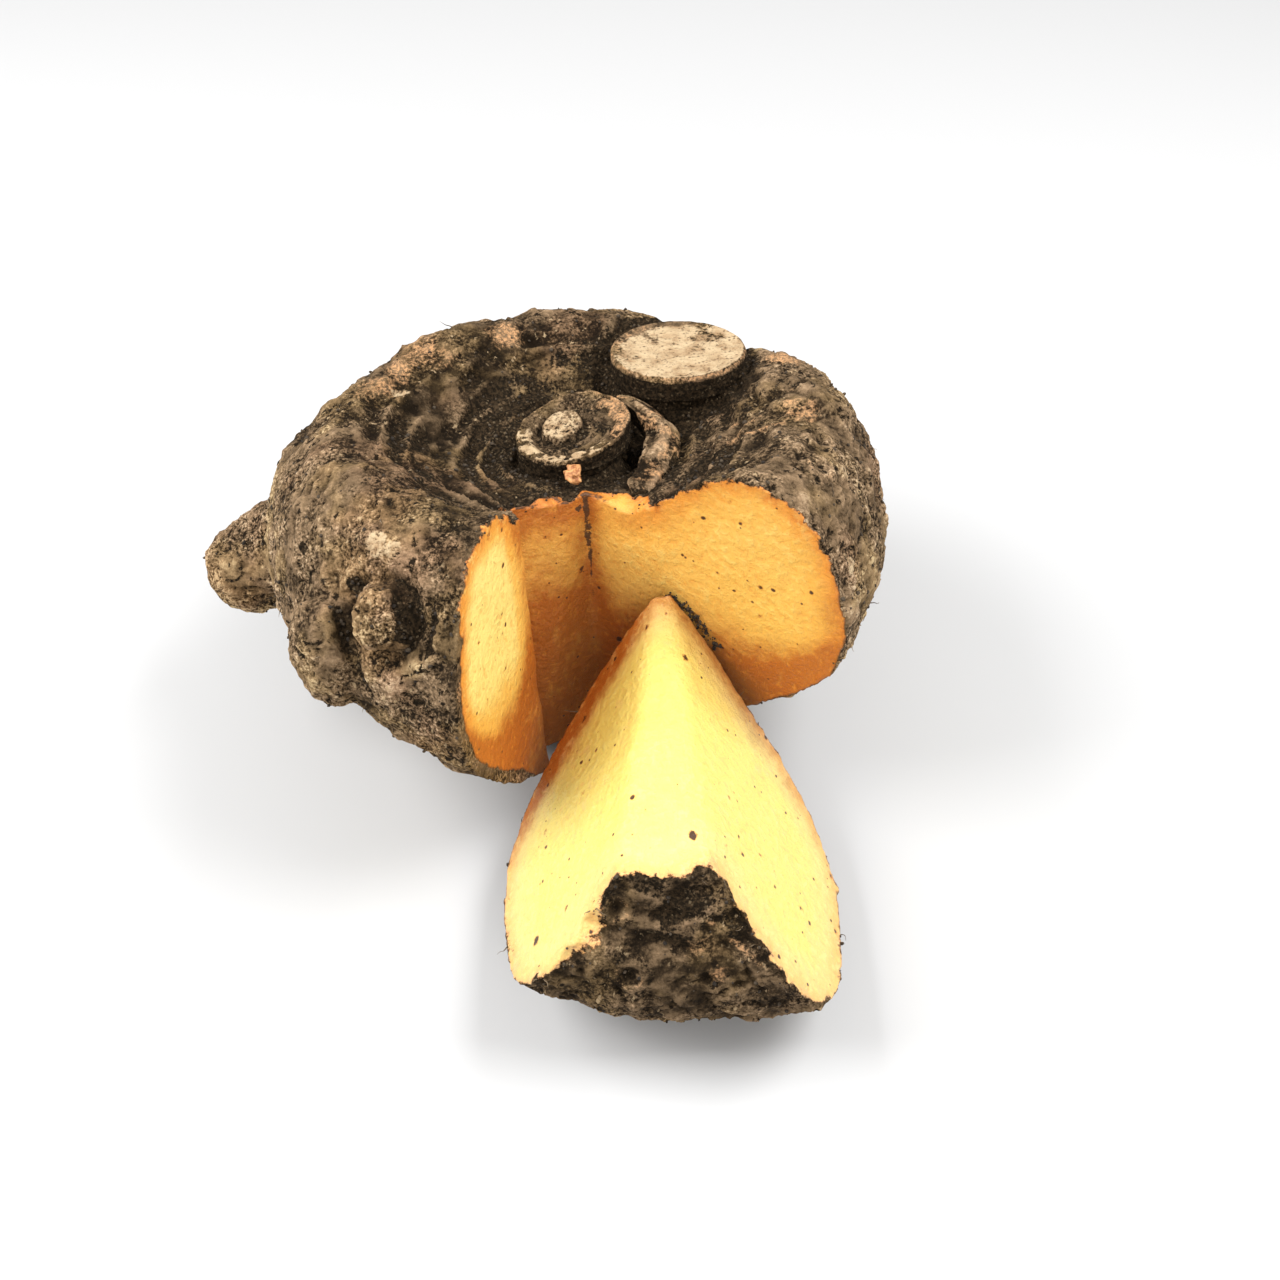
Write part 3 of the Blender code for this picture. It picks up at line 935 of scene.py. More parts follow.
@dataclass
class YamPiece:
    """One of the yam's two pieces, made from its solid and placed from the whole yam's own frame."""

    placed: Matrix
    node_name: str = ""
    piece_name: str = ""
    slot: str = ""
    voxel: float = 0.0012
    upright_cuts: bool = False
    crustiness: float = 1.0
    ring_share: float = 1.0
    rub_share: float = 1.0
    flesh_smoothing: int = 12
    plan: YamPlan = field(default_factory=YamPlan)
    relief: SkinRelief = field(default_factory=SkinRelief)

    def read_depth(self, reader: Remesher) -> None:
        """Works out how deep each point lies under the skin, or how far from a cut it lies on the skin.

        Args:
            reader: The solid's reader, with its cut faces and its skin.
        """
        depth = np.empty(len(self.work.points))
        for index, point in enumerate(self.work.points):
            place = Vector(point)
            to_cut = reader.cut_tree.find_nearest(place)[3]
            to_skin = reader.skin_tree.find_nearest(place)[3]
            depth[index] = to_skin - to_cut
        self.depth = depth

    def scattered(self, count: int, seed: int, reach: tuple[float, float]) -> tuple[np.ndarray, np.ndarray]:
        """Features scattered at random over the skin.

        Args:
            count: How many there are.
            seed: The seed of the draw.
            reach: The smallest and largest reach of one.

        Returns:
            The distance of each point from its nearest feature as a share of that one's reach, and a random
            number from 0 to 1 that belongs to the feature.
        """
        chance = random.Random(seed)
        on_skin = np.flatnonzero(self.depth < -0.003)
        tree = KDTree(count)
        sizes = []
        marks = []
        for number in range(count):
            tree.insert(Vector(self.work.points[on_skin[chance.randrange(len(on_skin))]]), number)
            sizes.append(chance.uniform(*reach))
            marks.append(chance.random())
        tree.balance()
        near = [tree.find(Vector(point)) for point in self.work.points]
        share = np.array([distance / sizes[number] for _, number, distance in near])
        mark = np.array([marks[number] for _, number, _ in near])
        return share, mark

    def ring_level(self) -> np.ndarray:
        """The distance from the middle of the rings, which lies in the eye for the inner ones.

        Returns:
            The distance of each point.
        """
        inner = smooth_step(0.070, 0.030, self.work.radius)
        middle_x, middle_y = self.plan.eye_middle
        return np.hypot(self.work.places[:, 0] - middle_x * inner, self.work.places[:, 1] - middle_y * inner)

    def ringed_rise(self) -> np.ndarray:
        """The leaf-scar rings in the hollow.

        Returns:
            How far each point rises.
        """
        work, plan = self.work, self.plan
        level = self.ring_level()
        drift = 0.0042 * work.noise(0.040, 61.0, 3)
        phase = (level + drift) / plan.ring_pitch
        crest = 1.0 - 2.0 * np.abs(np.sin(np.pi * phase)) ** 0.7
        turn = np.arctan2(work.places[:, 1], work.places[:, 0])
        front_left = smooth_step(-0.5, 0.7, np.cos(turn - math.radians(215)))
        broken = np.clip(0.15 + 0.55 * front_left + 1.1 * work.noise(0.020, 63.0, 2), 0.05, 1.25)
        within = smooth_step(plan.hollow_radius + 0.006, plan.hollow_radius - 0.010, level)
        span = smooth_step(0.024, 0.030, level) * within * (work.places[:, 2] > 0.0)
        self.rings = crest * span * broken * self.ring_share
        return plan.ring_rise * self.rings

    def shape_skin(self) -> None:
        """Gives the bark its relief and marks where soil and scars lie."""
        work, plan = self.work, self.plan
        skin = smooth_step(0.0002, -0.0020, self.depth)
        edge = bump_of(self.depth, 0.0022)
        eye = work.away(plan.eye_middle)
        stalk = work.away(plan.stalk_middle)
        high = work.places[:, 2] > 0.015
        on_stalk = smooth_step(plan.stalk_radius + 0.0030, plan.stalk_radius + 0.0010, stalk) * high
        on_eye = smooth_step(plan.eye_radius + 0.0030, plan.eye_radius + 0.0010, eye) * high
        growths = np.maximum(on_stalk, on_eye)
        work.smooth(np.maximum(skin * (1.0 - 0.9 * growths), 0.30 * edge), self.relief.smoothing)
        work.smooth(smooth_step(0.0030, 0.0075, self.depth), self.flesh_smoothing)

        inside = smooth_step(plan.hollow_radius, plan.hollow_radius - 0.014, work.radius)
        self.hollow = inside * (work.places[:, 2] > 0.0)
        self.holes = np.zeros(len(work.points))
        self.rise = self.rough_rise()
        self.rise += self.ringed_rise()
        self.add_features()
        self.add_knob()
        self.rise -= 0.0015 * bump_of(stalk - plan.stalk_radius - 0.0026, 0.0024) * high
        self.rise -= 0.0015 * bump_of(eye - plan.eye_radius - 0.0030, 0.0026) * high
        self.rise *= 1.0 - growths
        self.rise *= skin
        ragged = 0.00055 * edge * work.noise(0.0050, 21.0, 2)
        work.raise_by(self.rise + ragged - plan.stalk_sink * on_stalk - plan.eye_sink * on_eye)
        self.mark_soil_and_shade()
        self.mark_scars()
        self.mark_crust()

    def rough_rise(self) -> np.ndarray:
        """The lumps, crust, cracks, warts and pits all over the bark.

        Returns:
            How far each point rises.
        """
        work, relief = self.work, self.relief
        lumps = work.noise(relief.lump_width, 3.1, 3)
        self.crust = work.noise(relief.crust_width, 9.4, 3, (1.0, 1.0, 1.5))
        crack = np.abs(work.noise(relief.crack_width, 14.2, 2, (0.8, 0.8, 2.2)))
        self.crack = smooth_step(0.10, 0.0, crack)
        warts, wart_marks = self.scattered(relief.wart_count, 23, relief.wart_reach)
        wart = np.exp(-(warts**2)) - 0.8 * np.exp(-((warts / 0.42) ** 2)) * (wart_marks > 0.6)
        pits, _ = self.scattered(relief.pit_count, 17, relief.pit_reach)
        pit = np.exp(-(pits**2)) - 0.5 * np.exp(-(((pits - 1.5) / 0.5) ** 2))
        outside = 1.0 - 0.7 * self.hollow
        rise = relief.lump_rise * lumps + relief.crust_rise * self.crust
        rise -= relief.crack_depth * self.crack * outside
        rise += relief.wart_rise * wart * (0.4 + wart_marks) * outside
        return rise - relief.pit_depth * pit * outside

    def add_features(self) -> None:
        """Adds the hollows, grooves, fibres and ringed scars that the plan places."""
        work, plan = self.work, self.plan
        for spot in plan.hollows:
            dip = bump_of(work.away(spot.place), spot.reach)
            self.rise -= 0.42 * spot.reach * dip
            self.darken(smooth_step(0.25, 0.75, dip))
        for line in plan.grooves:
            dip = bump_of(work.away_from_line(line), 0.0021)
            self.rise -= 0.0019 * dip
            self.darken(smooth_step(0.35, 0.95, dip))
        for line in plan.fibres:
            ridge = bump_of(work.away_from_line(line) + 0.0008 * self.crust, 0.0014)
            self.rise += 0.0008 * ridge
            work.add(Stored.RUBBED, 0.75 * ridge)
        for spot in plan.ringed:
            away = work.away(spot.place)
            rim = bump_of(away - spot.reach, spot.reach * 0.35)
            middle = bump_of(away, spot.reach * 0.40)
            self.rise += 0.0009 * rim - 0.0010 * middle
            self.darken(0.8 * smooth_step(0.40, 0.90, middle))
            self.darken(0.45 * bump_of(away - spot.reach * 1.5, spot.reach * 0.30))
            work.add(Stored.RUBBED, 0.30 * rim)

    def darken(self, share: np.ndarray) -> None:
        """Puts soil in holes and grooves, and painted shadow where a caller darkens one side of a groove, by
        how much of it there is at each point.
        """
        self.holes = np.maximum(self.holes, share)

    def add_knob(self) -> None:
        """Adds the knob's stubble, with the groove and the fold round it."""
        work, plan = self.work, self.plan
        knob = work.across_skin(plan.knob_way)
        stubble = smooth_step(plan.knob_radius, 0.8 * plan.knob_radius, knob)
        self.rise += 0.0016 * stubble * work.noise(0.0030, 71.0, 2)
        self.rise -= 0.0013 * bump_of(knob - plan.knob_groove, 0.0020)
        fold = bump_of(knob - plan.knob_fold, 0.0024) * np.clip(0.65 + work.noise(0.010, 73.0, 1), 0.0, 1.0)
        self.rise += 0.0016 * fold
        right_of = smooth_step(0.002, 0.008, work.places[:, 0] - SKIN_RADIUS * plan.knob_way.x)
        # The knob's groove holds soil all round and is darker on its right-hand side, which is a painted
        # shadow.
        self.darken((0.30 + 0.45 * right_of) * bump_of(knob - plan.knob_groove, 0.0014))
        self.stubble = np.maximum(stubble, 0.85 * fold * right_of)

    def mark_soil_and_shade(self) -> None:
        """Stores the soil in the hollow, round the growths and in the cracks and holes, and the painted shade
        in the knob's groove and round the growths' feet.
        """
        work, plan = self.work, self.plan
        upper = work.places[:, 2] > 0.0
        stalk = work.away(plan.stalk_middle)
        eye = work.away(plan.eye_middle)
        dark = work.noise(0.020, 12.0, 3)
        inner = smooth_step(0.062, 0.034, self.ring_level()) * upper
        # The dark rings round the feet of the stalk's scar and of the eye are soil and painted shade in the
        # gap at their walls.
        by_stalk = 1.25 * bump_of(np.maximum(stalk - 0.0265, 0.0), 0.0055) * upper
        soil = inner * (0.52 + 0.50 * dark - 0.50 * np.clip(self.rings, -1.0, 1.0))
        for other in (
            self.hollow * (0.28 + 0.60 * dark - 0.35 * self.rings),
            by_stalk * (0.80 + 0.6 * dark),
            1.30 * bump_of(np.maximum(eye - 0.0225, 0.0), 0.0055) * upper,
            self.holes * 1.05,
            0.75 * self.crack * (1.0 - self.hollow) * (0.6 + dark),
        ):
            soil = np.maximum(soil, other)
        work.add(Stored.SOIL_AND_SHADE, np.clip(soil, 0.0, 1.2))

    def mark_scars(self) -> None:
        """Stores the cream scars and the places that are rubbed to the orange underskin."""
        work, plan = self.work, self.plan
        fray = 0.0012 * work.noise(0.0042, 44.0, 2)
        for spot in plan.pale:
            scar = smooth_step(spot.reach * 1.25, spot.reach * 0.65, work.away(spot.place) + fray)
            work.add(Stored.PALE, 0.58 * scar)
        patch = work.noise(0.016, 51.0, 3)
        for spot in plan.rubbed:
            rubbed = bump_of(work.away(spot.place), spot.reach) * (0.85 + 0.8 * patch)
            work.add(Stored.RUBBED, rubbed * self.rub_share)
        rubbed_rings = 0.55 * smooth_step(0.25, 0.95, self.rings) * smooth_step(0.0, 0.5, patch + 0.2)
        work.add(Stored.RUBBED, 0.5 * rubbed_rings)

    def mark_crust(self) -> None:
        """Stores the light crust on the flanks and the tuber, and the height in the relief."""
        work = self.work
        flank = smooth_step(0.066, 0.092, work.radius) * 0.86 + 0.02
        flank = np.where(work.places[:, 2] > 0.0, flank, 0.92)
        light = flank * (0.85 + 0.55 * work.noise(0.024, 81.0, 2))
        right = smooth_step(0.045, 0.085, work.places[:, 0])
        tuber = smooth_step(-0.098, -0.112, work.places[:, 0])
        crusty = np.maximum(light + 0.22 * right + 0.45 * tuber, 1.35 * self.stubble)
        crusty += 0.55 * bump_of(work.away(self.plan.bare_place), 0.0085)
        work.add(Stored.CRUST, np.clip(crusty * self.crustiness, 0.0, 1.4))
        work.add(Stored.RELIEF, np.clip(self.rise / 0.0014 + 0.25 * self.crust, -1.0, 1.0))

    def shape_flesh(self) -> None:
        """Gives the cut faces a gentle wave, and stores how deep an orange they have, with the painted light
        and shade of the corm's notch.
        """
        work = self.work
        flesh = smooth_step(0.0004, 0.0025, self.depth)
        wave = 0.00055 * (work.noise(0.022, 31.0, 2) - 0.6)
        crumb = 0.00018 * work.noise(0.0048, 37.0, 3)
        work.raise_by((wave + crumb) * flesh)
        work.add(Stored.ORANGE_AND_SHADING, self.orange_and_shading_map())

    def orange_and_shading_map(self) -> np.ndarray:
        """How deep an orange the flesh has at each point."""
        return np.zeros(len(self.depth))

    def build(self, finish: YamFinish) -> bpy.types.Object:
        """Makes the piece.

        Args:
            finish: Its finish.

        Returns:
            The finished object.
        """
        reader = Remesher(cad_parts[self.node_name], self.voxel, self.upright_cuts)
        self.work = Sculpture(reader.fine_mesh(self.piece_name), self.placed)
        self.read_depth(reader)
        self.shape_skin()
        self.shape_flesh()
        self.work.add(Stored.DEPTH, self.stored_depth() / MM)
        self.work.add(Stored.TORN, smooth_step(0.015, 0.035, self.work.places[:, 2]))
        return self.work.finish(self.piece_name, finish.material(), self.slot, self.node_name)

    def stored_depth(self) -> np.ndarray:
        """The depth under the skin that the finish reads."""
        return self.depth


@dataclass
class Corm(YamPiece):
    """The corm with its notch."""

    node_name: str = "yam_corm"
    piece_name: str = "corm_body"
    slot: str = "bark"
    voxel: float = 0.00115
    upright_cuts: bool = True
    torn_lip: tuple[Spot, ...] = (
        Spot((-0.0080, -0.0240, 0.0330), 0.0058),
        Spot((0.0090, -0.0235, 0.0315), 0.0070),
        Spot((0.0165, -0.0235, 0.0320), 0.0082),
        Spot((0.0225, -0.0240, 0.0330), 0.0070),
    )
    corner_line: Line = ((0.0040, -0.0245, 0.0600), (0.0040, 0.0030, -0.1000))
    gap_line: Line = ((0.0334, -0.0292, -0.0077), (0.0397, -0.0325, -0.0116), (0.0490, -0.0355, -0.0240))

    def orange_and_shading_map(self) -> np.ndarray:
        """Deeper orange near the skin; painted shade as a darker, deeper orange low down, on the middle facet
        and along the inner corner; painted light as paler yellow on the left-hand facet.

        Returns:
            How deep an orange the flesh has at each point, with its painted light and shade.
        """
        places = self.work.places
        # low, middle and corner are painted shade and left is painted light; near_skin is the flesh's own
        # orange under the skin, made stronger low down as painted shade.
        low = smooth_step(0.004, -0.046, places[:, 2])
        near_skin = smooth_step(0.018, 0.001, self.depth)
        left = smooth_step(-0.0165, -0.0215, places[:, 0]) * smooth_step(-0.046, -0.052, places[:, 1])
        middle = smooth_step(0.004, -0.004, places[:, 0]) * (1.0 - left)
        outer = near_skin * (0.40 + 0.60 * smooth_step(0.045, 0.0, places[:, 2]))
        corner = bump_of(self.corner_away(), 0.0060)
        orange_and_shading = 2.3 * low * (0.60 + 0.6 * near_skin) + 0.62 * outer + 0.56 * middle + 0.70 * corner + 0.06
        return orange_and_shading - 0.95 * left * (1.0 - low) * (1.0 - 0.8 * near_skin)

    def stored_depth(self) -> np.ndarray:
        """The depth under the skin, with bark over the left facet's edge and flesh torn open on the lip.

        Returns:
            The depth that the finish reads.
        """
        places = self.work.places
        facet = smooth_step(-0.0165, -0.0215, places[:, 0]) * smooth_step(-0.046, -0.060, places[:, 1])
        torn = np.zeros(len(places))
        for spot in self.torn_lip:
            torn = np.maximum(torn, bump_of(self.work.away(spot.place), spot.reach) * spot.reach)
        return self.depth - 0.0045 * facet * smooth_step(0.040, 0.022, places[:, 2]) + 1.5 * torn

    def corner_away(self) -> np.ndarray:
        """The distance of each point from the notch's inner corner line."""
        return self.work.away_from_line(self.corner_line)

    def gap_away(self) -> np.ndarray:
        """The distance of each point from the line along which the wedge's tip comes near the notch."""
        return self.work.away_from_line(self.gap_line)

    def shape_flesh(self) -> None:
        """Lays soil along the notch's inner corner, and a dark line by the wedge's tip that is painted
        contact shadow with some soil.
        """
        super().shape_flesh()
        wander = 0.0011 * self.work.noise(0.0070, 131.0, 3)
        upper = smooth_step(-0.045, 0.015, self.work.places[:, 2])
        corner = 1.02 * bump_of(self.corner_away() + wander, 0.0015) * (0.35 + 0.65 * upper)
        # The dark line by the wedge's tip is painted contact shadow with some soil.
        corner = np.maximum(corner, 0.80 * bump_of(self.gap_away() + wander, 0.0020))
        self.work.values[Stored.SOIL_AND_SHADE] = np.where(self.depth > 0.001, corner, self.work.values[Stored.SOIL_AND_SHADE])


@dataclass
class Wedge(YamPiece):
    """The wedge in front of the notch."""

    node_name: str = "yam_wedge"
    piece_name: str = "wedge_body"
    slot: str = "flesh"
    voxel: float = 0.00085
    crustiness: float = 0.45
    ring_share: float = 0.35
    rub_share: float = 0.45
    flesh_smoothing: int = 70

    def orange_and_shading_map(self) -> np.ndarray:
        """Orange along the skin on the left, towards the thin end, where the soil is wiped off.

        Returns:
            How deep an orange the flesh has at each point.
        """
        places = self.work.places
        thin = smooth_step(0.012, -0.040, places[:, 2])
        left = smooth_step(0.004, -0.010, places[:, 0])
        near_skin = smooth_step(0.020, 0.001, self.depth)
        self.work.values[Stored.SOIL_AND_SHADE] *= np.where(self.depth > 0.001, 0.45, 1.0)
        return near_skin * (0.08 + 0.80 * left * thin + 0.30 * thin) + 0.20 * thin

    def stored_depth(self) -> np.ndarray:
        """The depth under the skin, with the flesh reaching a little over the near end on the left."""
        torn = bump_of(self.work.away((-0.0150, -0.0545, 0.0440)), 0.0120)
        return self.depth + 0.0070 * torn


class Turned:
    """A growth turned from an outline round its own axis."""

    def __init__(self, name: str, outline: list[tuple[float, float]], steps: int, placed: Matrix) -> None:
        """Turns the outline.

        Args:
            name: The mesh's name.
            outline: Radius and height of its points, from the axis to the axis.
            steps: How many there are round the axis.
            placed: The matrix from the growth's own frame to the scene.
        """
        shape = bmesh.new()
        ends = [shape.verts.new((radius, 0.0, height)) for radius, height in outline]
        edges = [shape.edges.new(pair) for pair in zip(ends, ends[1:])]
        axis = (0, 0, 1)
        bmesh.ops.spin(shape, geom=ends + edges, axis=axis, angle=math.tau, steps=steps, use_merge=True)
        bmesh.ops.remove_doubles(shape, verts=shape.verts, dist=0.00001)
        bmesh.ops.recalc_face_normals(shape, faces=shape.faces)
        self.mesh = mesh_of(shape, name)
        self.placed = placed
        flat = np.empty(len(self.mesh.vertices) * 3, dtype=np.float32)
        self.mesh.vertices.foreach_get("co", flat)
        self.local = flat.reshape(-1, 3).astype(float)
        self.radius = np.hypot(self.local[:, 0], self.local[:, 1])
        self.turn = np.arctan2(self.local[:, 1], self.local[:, 0])

    def settle(self, yam: Matrix) -> Sculpture:
        """Puts the shaped points into the scene.

        Args:
            yam: The matrix from the whole yam's own frame to the scene.

        Returns:
            The growth, ready for its stored values.
        """
        self.mesh.vertices.foreach_set("co", self.local.astype(np.float32).ravel())
        self.mesh.transform(yam @ self.placed)
        self.mesh.update()
        return Sculpture(self.mesh, yam)


@dataclass
class StalkScar:
    """The round cut scar of the old stalk."""

    radius: float = 0.0250
    top: float = 0.0070
    rows: int = 64
    steps: int = 220

    def build(self, finish: YamFinish) -> bpy.types.Object:
        """Makes the scar.

        Args:
            finish: Its finish.

        Returns:
            The finished object.
        """
        outline = [(self.radius * 0.965 * row / self.rows, self.top) for row in range(self.rows + 1)]
        outline += [(self.radius * 0.990, self.top - 0.0003), (self.radius * 1.004, self.top - 0.0011)]
        wall = self.radius * 1.008
        outline += [(wall - 0.00005 * row, self.top - 0.0018 - 0.0006 * row) for row in range(WALL_ROWS)]
        outline += [(0.0, self.top - 0.0100)]
        placed = Matrix.Translation((0.0373, 0.0492, 0.0430)) @ Matrix.Rotation(math.radians(-2), 4, "X")
        growth = Turned("stalk_scar", outline, self.steps, placed)
        local, radius, turn = growth.local, growth.radius, growth.turn
        share = radius / self.radius
        spread = 1.0 + 0.012 * np.cos(2 * turn + 0.6) + 0.008 * np.cos(3 * turn)
        spread += 0.006 * noise_at(local, 0.006, 91.0, 2)
        local[:, :2] *= spread[:, None]
        top = smooth_step(1.00, 0.96, share) * (local[:, 2] > self.top - 0.0008)
        local[:, 2] += top * (0.00022 * noise_at(local, 0.0035, 92.0, 3) - 0.0007 * (1.0 - share**2))
        local[:, 2] += 0.00045 * bump_of(share - 0.95, 0.03) * (local[:, 2] > self.top - 0.002)
        wall = local[:, 2] < self.top - 0.0012
        local[:, :2] *= (1.0 + 0.010 * wall * noise_at(local, 0.0028, 93.0, 2))[:, None]
        work = growth.settle(corm_frame())
        grain = noise_at(local, 0.0050, 94.0, 3)
        back_left = smooth_step(-0.2, 0.9, np.cos(turn - 2.35))
        back_left *= smooth_step(0.70, 0.98, share + 0.05 * grain)
        rim = smooth_step(0.950, 0.985, share + 0.012 * grain)
        uneven = 0.28 * noise_at(local, 0.0120, 95.0, 3) + 0.24 * grain
        uneven -= 0.22 * bump_of(np.hypot(local[:, 0] - 0.010, local[:, 1] - 0.010), 0.009)
        work.add(Stored.PALE, np.clip(top * (0.80 + uneven - 0.65 * back_left - 0.35 * rim), 0.0, 1.0))
        front = smooth_step(0.3, 0.9, np.cos(turn + 0.6))
        rubbed = bump_of(local[:, 2] - self.top + 0.0006, 0.0006) * (0.35 + 0.45 * front)
        rubbed += 0.35 * back_left + 0.15 * rim
        work.add(Stored.RUBBED, np.where(radius > 0.010, rubbed, 0.0))
        work.add(Stored.SOIL_AND_SHADE, 1.1 * smooth_step(self.top - 0.0012, self.top - 0.0026, local[:, 2]))
        work.add(Stored.CRUST, np.where(wall, 0.5, 0.8))
        work.add(Stored.RELIEF, np.clip(0.4 * grain, -1.0, 1.0))
        return work.finish_growth("stalk_scar", finish.material())


@dataclass
class Eye:
    """The scar of the central bud: a ragged rim, a dark ring and a pale button."""

    radius: float = 0.0200
    rows: int = 70
    steps: int = 240
    button_shift: tuple[float, float] = (-0.0040, 0.0022)

    def build(self, finish: YamFinish) -> bpy.types.Object:
        """Makes the eye.

        Args:
            finish: Its finish.

        Returns:
            The finished object.
        """
        outline = [(self.radius * row / self.rows, 0.0) for row in range(self.rows + 1)]
        outline += [(self.radius * 1.006, -0.0006 - 0.0006 * row) for row in range(WALL_ROWS)]
        outline += [(0.0, -0.0090)]
        placed = Matrix.Translation((-0.0008, 0.0100, 0.0403)) @ Matrix.Rotation(math.radians(9), 4, "X")
        growth = Turned("eye", outline, self.steps, placed)
        local, turn = growth.local, growth.turn
        share = growth.radius / self.radius
        top = local[:, 2] > -0.0003
        ragged = noise_at(local, 0.0042, 101.0, 3)
        fine = noise_at(local, 0.0016, 102.0, 2)
        long_way = np.cos(2 * (turn - math.radians(38)))
        front_left = smooth_step(-0.2, 0.8, np.cos(turn - math.radians(248)))
        right = smooth_step(0.45, 0.95, np.cos(turn - math.radians(14)))
        button_x = local[:, 0] - self.button_shift[0]
        button_y = local[:, 1] - self.button_shift[1]
        button_away = np.hypot(button_x / 0.95, button_y / 1.05) * (1.0 + 0.07 * ragged)
        button = smooth_step(0.0082, 0.0070, button_away)
        lip = bump_of(share - 0.965, 0.028)
        band = smooth_step(0.66, 0.76, share + 0.05 * ragged) * smooth_step(1.0, 0.93, share)
        groove = smooth_step(0.80, 0.66, share) * (1.0 - button)
        spiral = np.sin(math.tau * (growth.radius / 0.0030 + 0.12 * ragged + turn / math.tau))
        height = 0.0008 * lip + 0.0005 * band * front_left * (1.0 + 1.4 * ragged)
        height -= 0.0022 * groove + 0.0007 * band * right
        height += 0.0003 * spiral * groove + 0.0012 * button
        arcs = np.sin(math.tau * np.hypot(button_x + 0.0030, button_y - 0.0006) / 0.0017)
        arcs *= smooth_step(0.0, 0.003, button_x)
        height += 0.00014 * arcs * button
        height += 0.00022 * ragged + 0.00010 * fine
        local[:, 2] += np.where(top, height, 0.0) + 0.110 * local[:, 0]
        spread = 1.0 + 0.070 * long_way + 0.030 * ragged * smooth_step(0.8, 1.0, share)
        local[:, :2] *= spread[:, None]
        work = growth.settle(corm_frame())
        pale_side = smooth_step(0.006, -0.004, button_x + 0.6 * button_y)
        cream = 0.74 * band * front_left * smooth_step(-0.45, 0.15, ragged) + 0.30 * lip
        cream += button * (0.38 + 0.20 * pale_side + 0.10 * fine + 0.08 * arcs)
        work.add(Stored.PALE, np.clip(np.where(top, cream, 0.0), 0.0, 0.80))
        tan = 0.85 * band * right * (0.9 + 0.9 * ragged) + 0.40 * lip
        work.add(Stored.RUBBED, np.clip(np.where(top, tan, 0.0), 0.0, 1.0))
        soil = 0.46 * groove * (0.9 + 0.8 * ragged) + 0.45 * bump_of(button_away - 0.0084, 0.0008)
        work.add(Stored.SOIL_AND_SHADE, np.clip(np.where(top, soil, 1.1), 0.0, 1.2))
        work.add(Stored.CRUST, 0.25 + 0.7 * button + 0.3 * lip)
        work.add(Stored.RELIEF, np.clip(0.5 * ragged + 0.3 * spiral * groove, -1.0, 1.0))
        return work.finish_growth("eye", finish.material())


@dataclass
class Collar:
    """The thick flap of old leaf base that stands round the eye's right-hand side."""

    crest: Line = (
        (0.0150, 0.0310, 0.0415),
        (0.0196, 0.0275, 0.0422),
        (0.0251, 0.0222, 0.0418),
        (0.0294, 0.0166, 0.0402),
        (0.0322, 0.0104, 0.0386),
        (0.0311, 0.0032, 0.0370),
        (0.0286, -0.0039, 0.0358),
        (0.0261, -0.0103, 0.0348),
        (0.0228, -0.0163, 0.0338),
        (0.0235, -0.0205, 0.0320),
    )
    widths_mm: tuple[float, ...] = (1.8, 3.0, 4.4, 5.8, 6.8, 5.8, 5.0, 4.8, 4.2, 2.6)
    smoothing: int = 60
    depth: float = 0.0080
    crest_share: float = 0.60
    length: float = 0.055
    thickness: float = 0.004
    rows: int = 150
    steps: int = 60

    def build(self, finish: YamFinish) -> bpy.types.Object:
        """Makes the flap.

        Args:
            finish: Its finish.

        Returns:
            The finished object.
        """
        stops = np.linspace(0.0, 1.0, len(self.crest))
        grid = np.linspace(0.0, 1.0, self.rows + 1)
        line = np.stack([np.interp(grid, stops, values) for values in zip(*self.crest)], axis=1)
        width = np.interp(grid, stops, self.widths_mm) * MM
        for _ in range(self.smoothing):
            line[1:-1] += 0.5 * ((line[:-2] + line[2:]) / 2 - line[1:-1])
            width[1:-1] += 0.5 * ((width[:-2] + width[2:]) / 2 - width[1:-1])
        way = np.gradient(line, axis=0)
        side = np.stack([way[:, 1], -way[:, 0]], axis=1)
        side /= np.linalg.norm(side, axis=1)[:, None]
        outline = [(0.0, 0.0)] + [(MM, place) for place in grid] + [(0.0, 1.0)]
        growth = Turned("collar", outline, self.steps, Matrix.Identity(4))
        along, skin = growth.local[:, 2].copy(), growth.radius / MM
        out, up = np.cos(growth.turn), np.sin(growth.turn)
        round_it = np.stack([out, up], axis=1) * self.thickness
        streak = noise_at(np.column_stack([along * self.length * 0.30, round_it]), 0.0030, 111.0, 3)
        rough = noise_at(np.column_stack([along * self.length, round_it]), 0.0062, 112.0, 3)
        wide = np.interp(along, grid, width)
        swell = skin * (1.0 + 0.26 * streak + 0.16 * rough)
        across = wide * out * swell
        lift = np.where(up > 0.0, self.crest_share * wide, self.depth) * up * swell
        for axis in range(3):
            growth.local[:, axis] = np.interp(along, grid, line[:, axis])
        for axis in range(2):
            growth.local[:, axis] += np.interp(along, grid, side[:, axis]) * across
        growth.local[:, 2] += lift - self.crest_share * wide + 0.22 * across
        work = growth.settle(corm_frame())
        # Soil on the lower flanks, on the side towards the eye and at the ends; on the side towards the eye
        # and down into the gap, this dark is painted shade as well.
        flank = smooth_step(0.25, -0.35, up)
        end = smooth_step(0.06, 0.0, along) + smooth_step(0.95, 1.0, along)
        soil = 0.95 * flank + 0.22 * (out < -0.15) + 0.8 * end - 0.35 * rough - 0.30 * streak
        work.add(Stored.SOIL_AND_SHADE, np.clip(soil, 0.0, 1.2))
        work.add(Stored.CRUST, np.clip(0.20 + 0.9 * streak, 0.0, 1.0))
        work.add(Stored.RUBBED, np.clip(0.30 + 0.8 * rough, 0.0, 0.7))
        work.add(Stored.RELIEF, np.clip(1.5 * streak + 0.3 * up, -1.0, 1.0))
        return work.finish_growth("collar", finish.material())


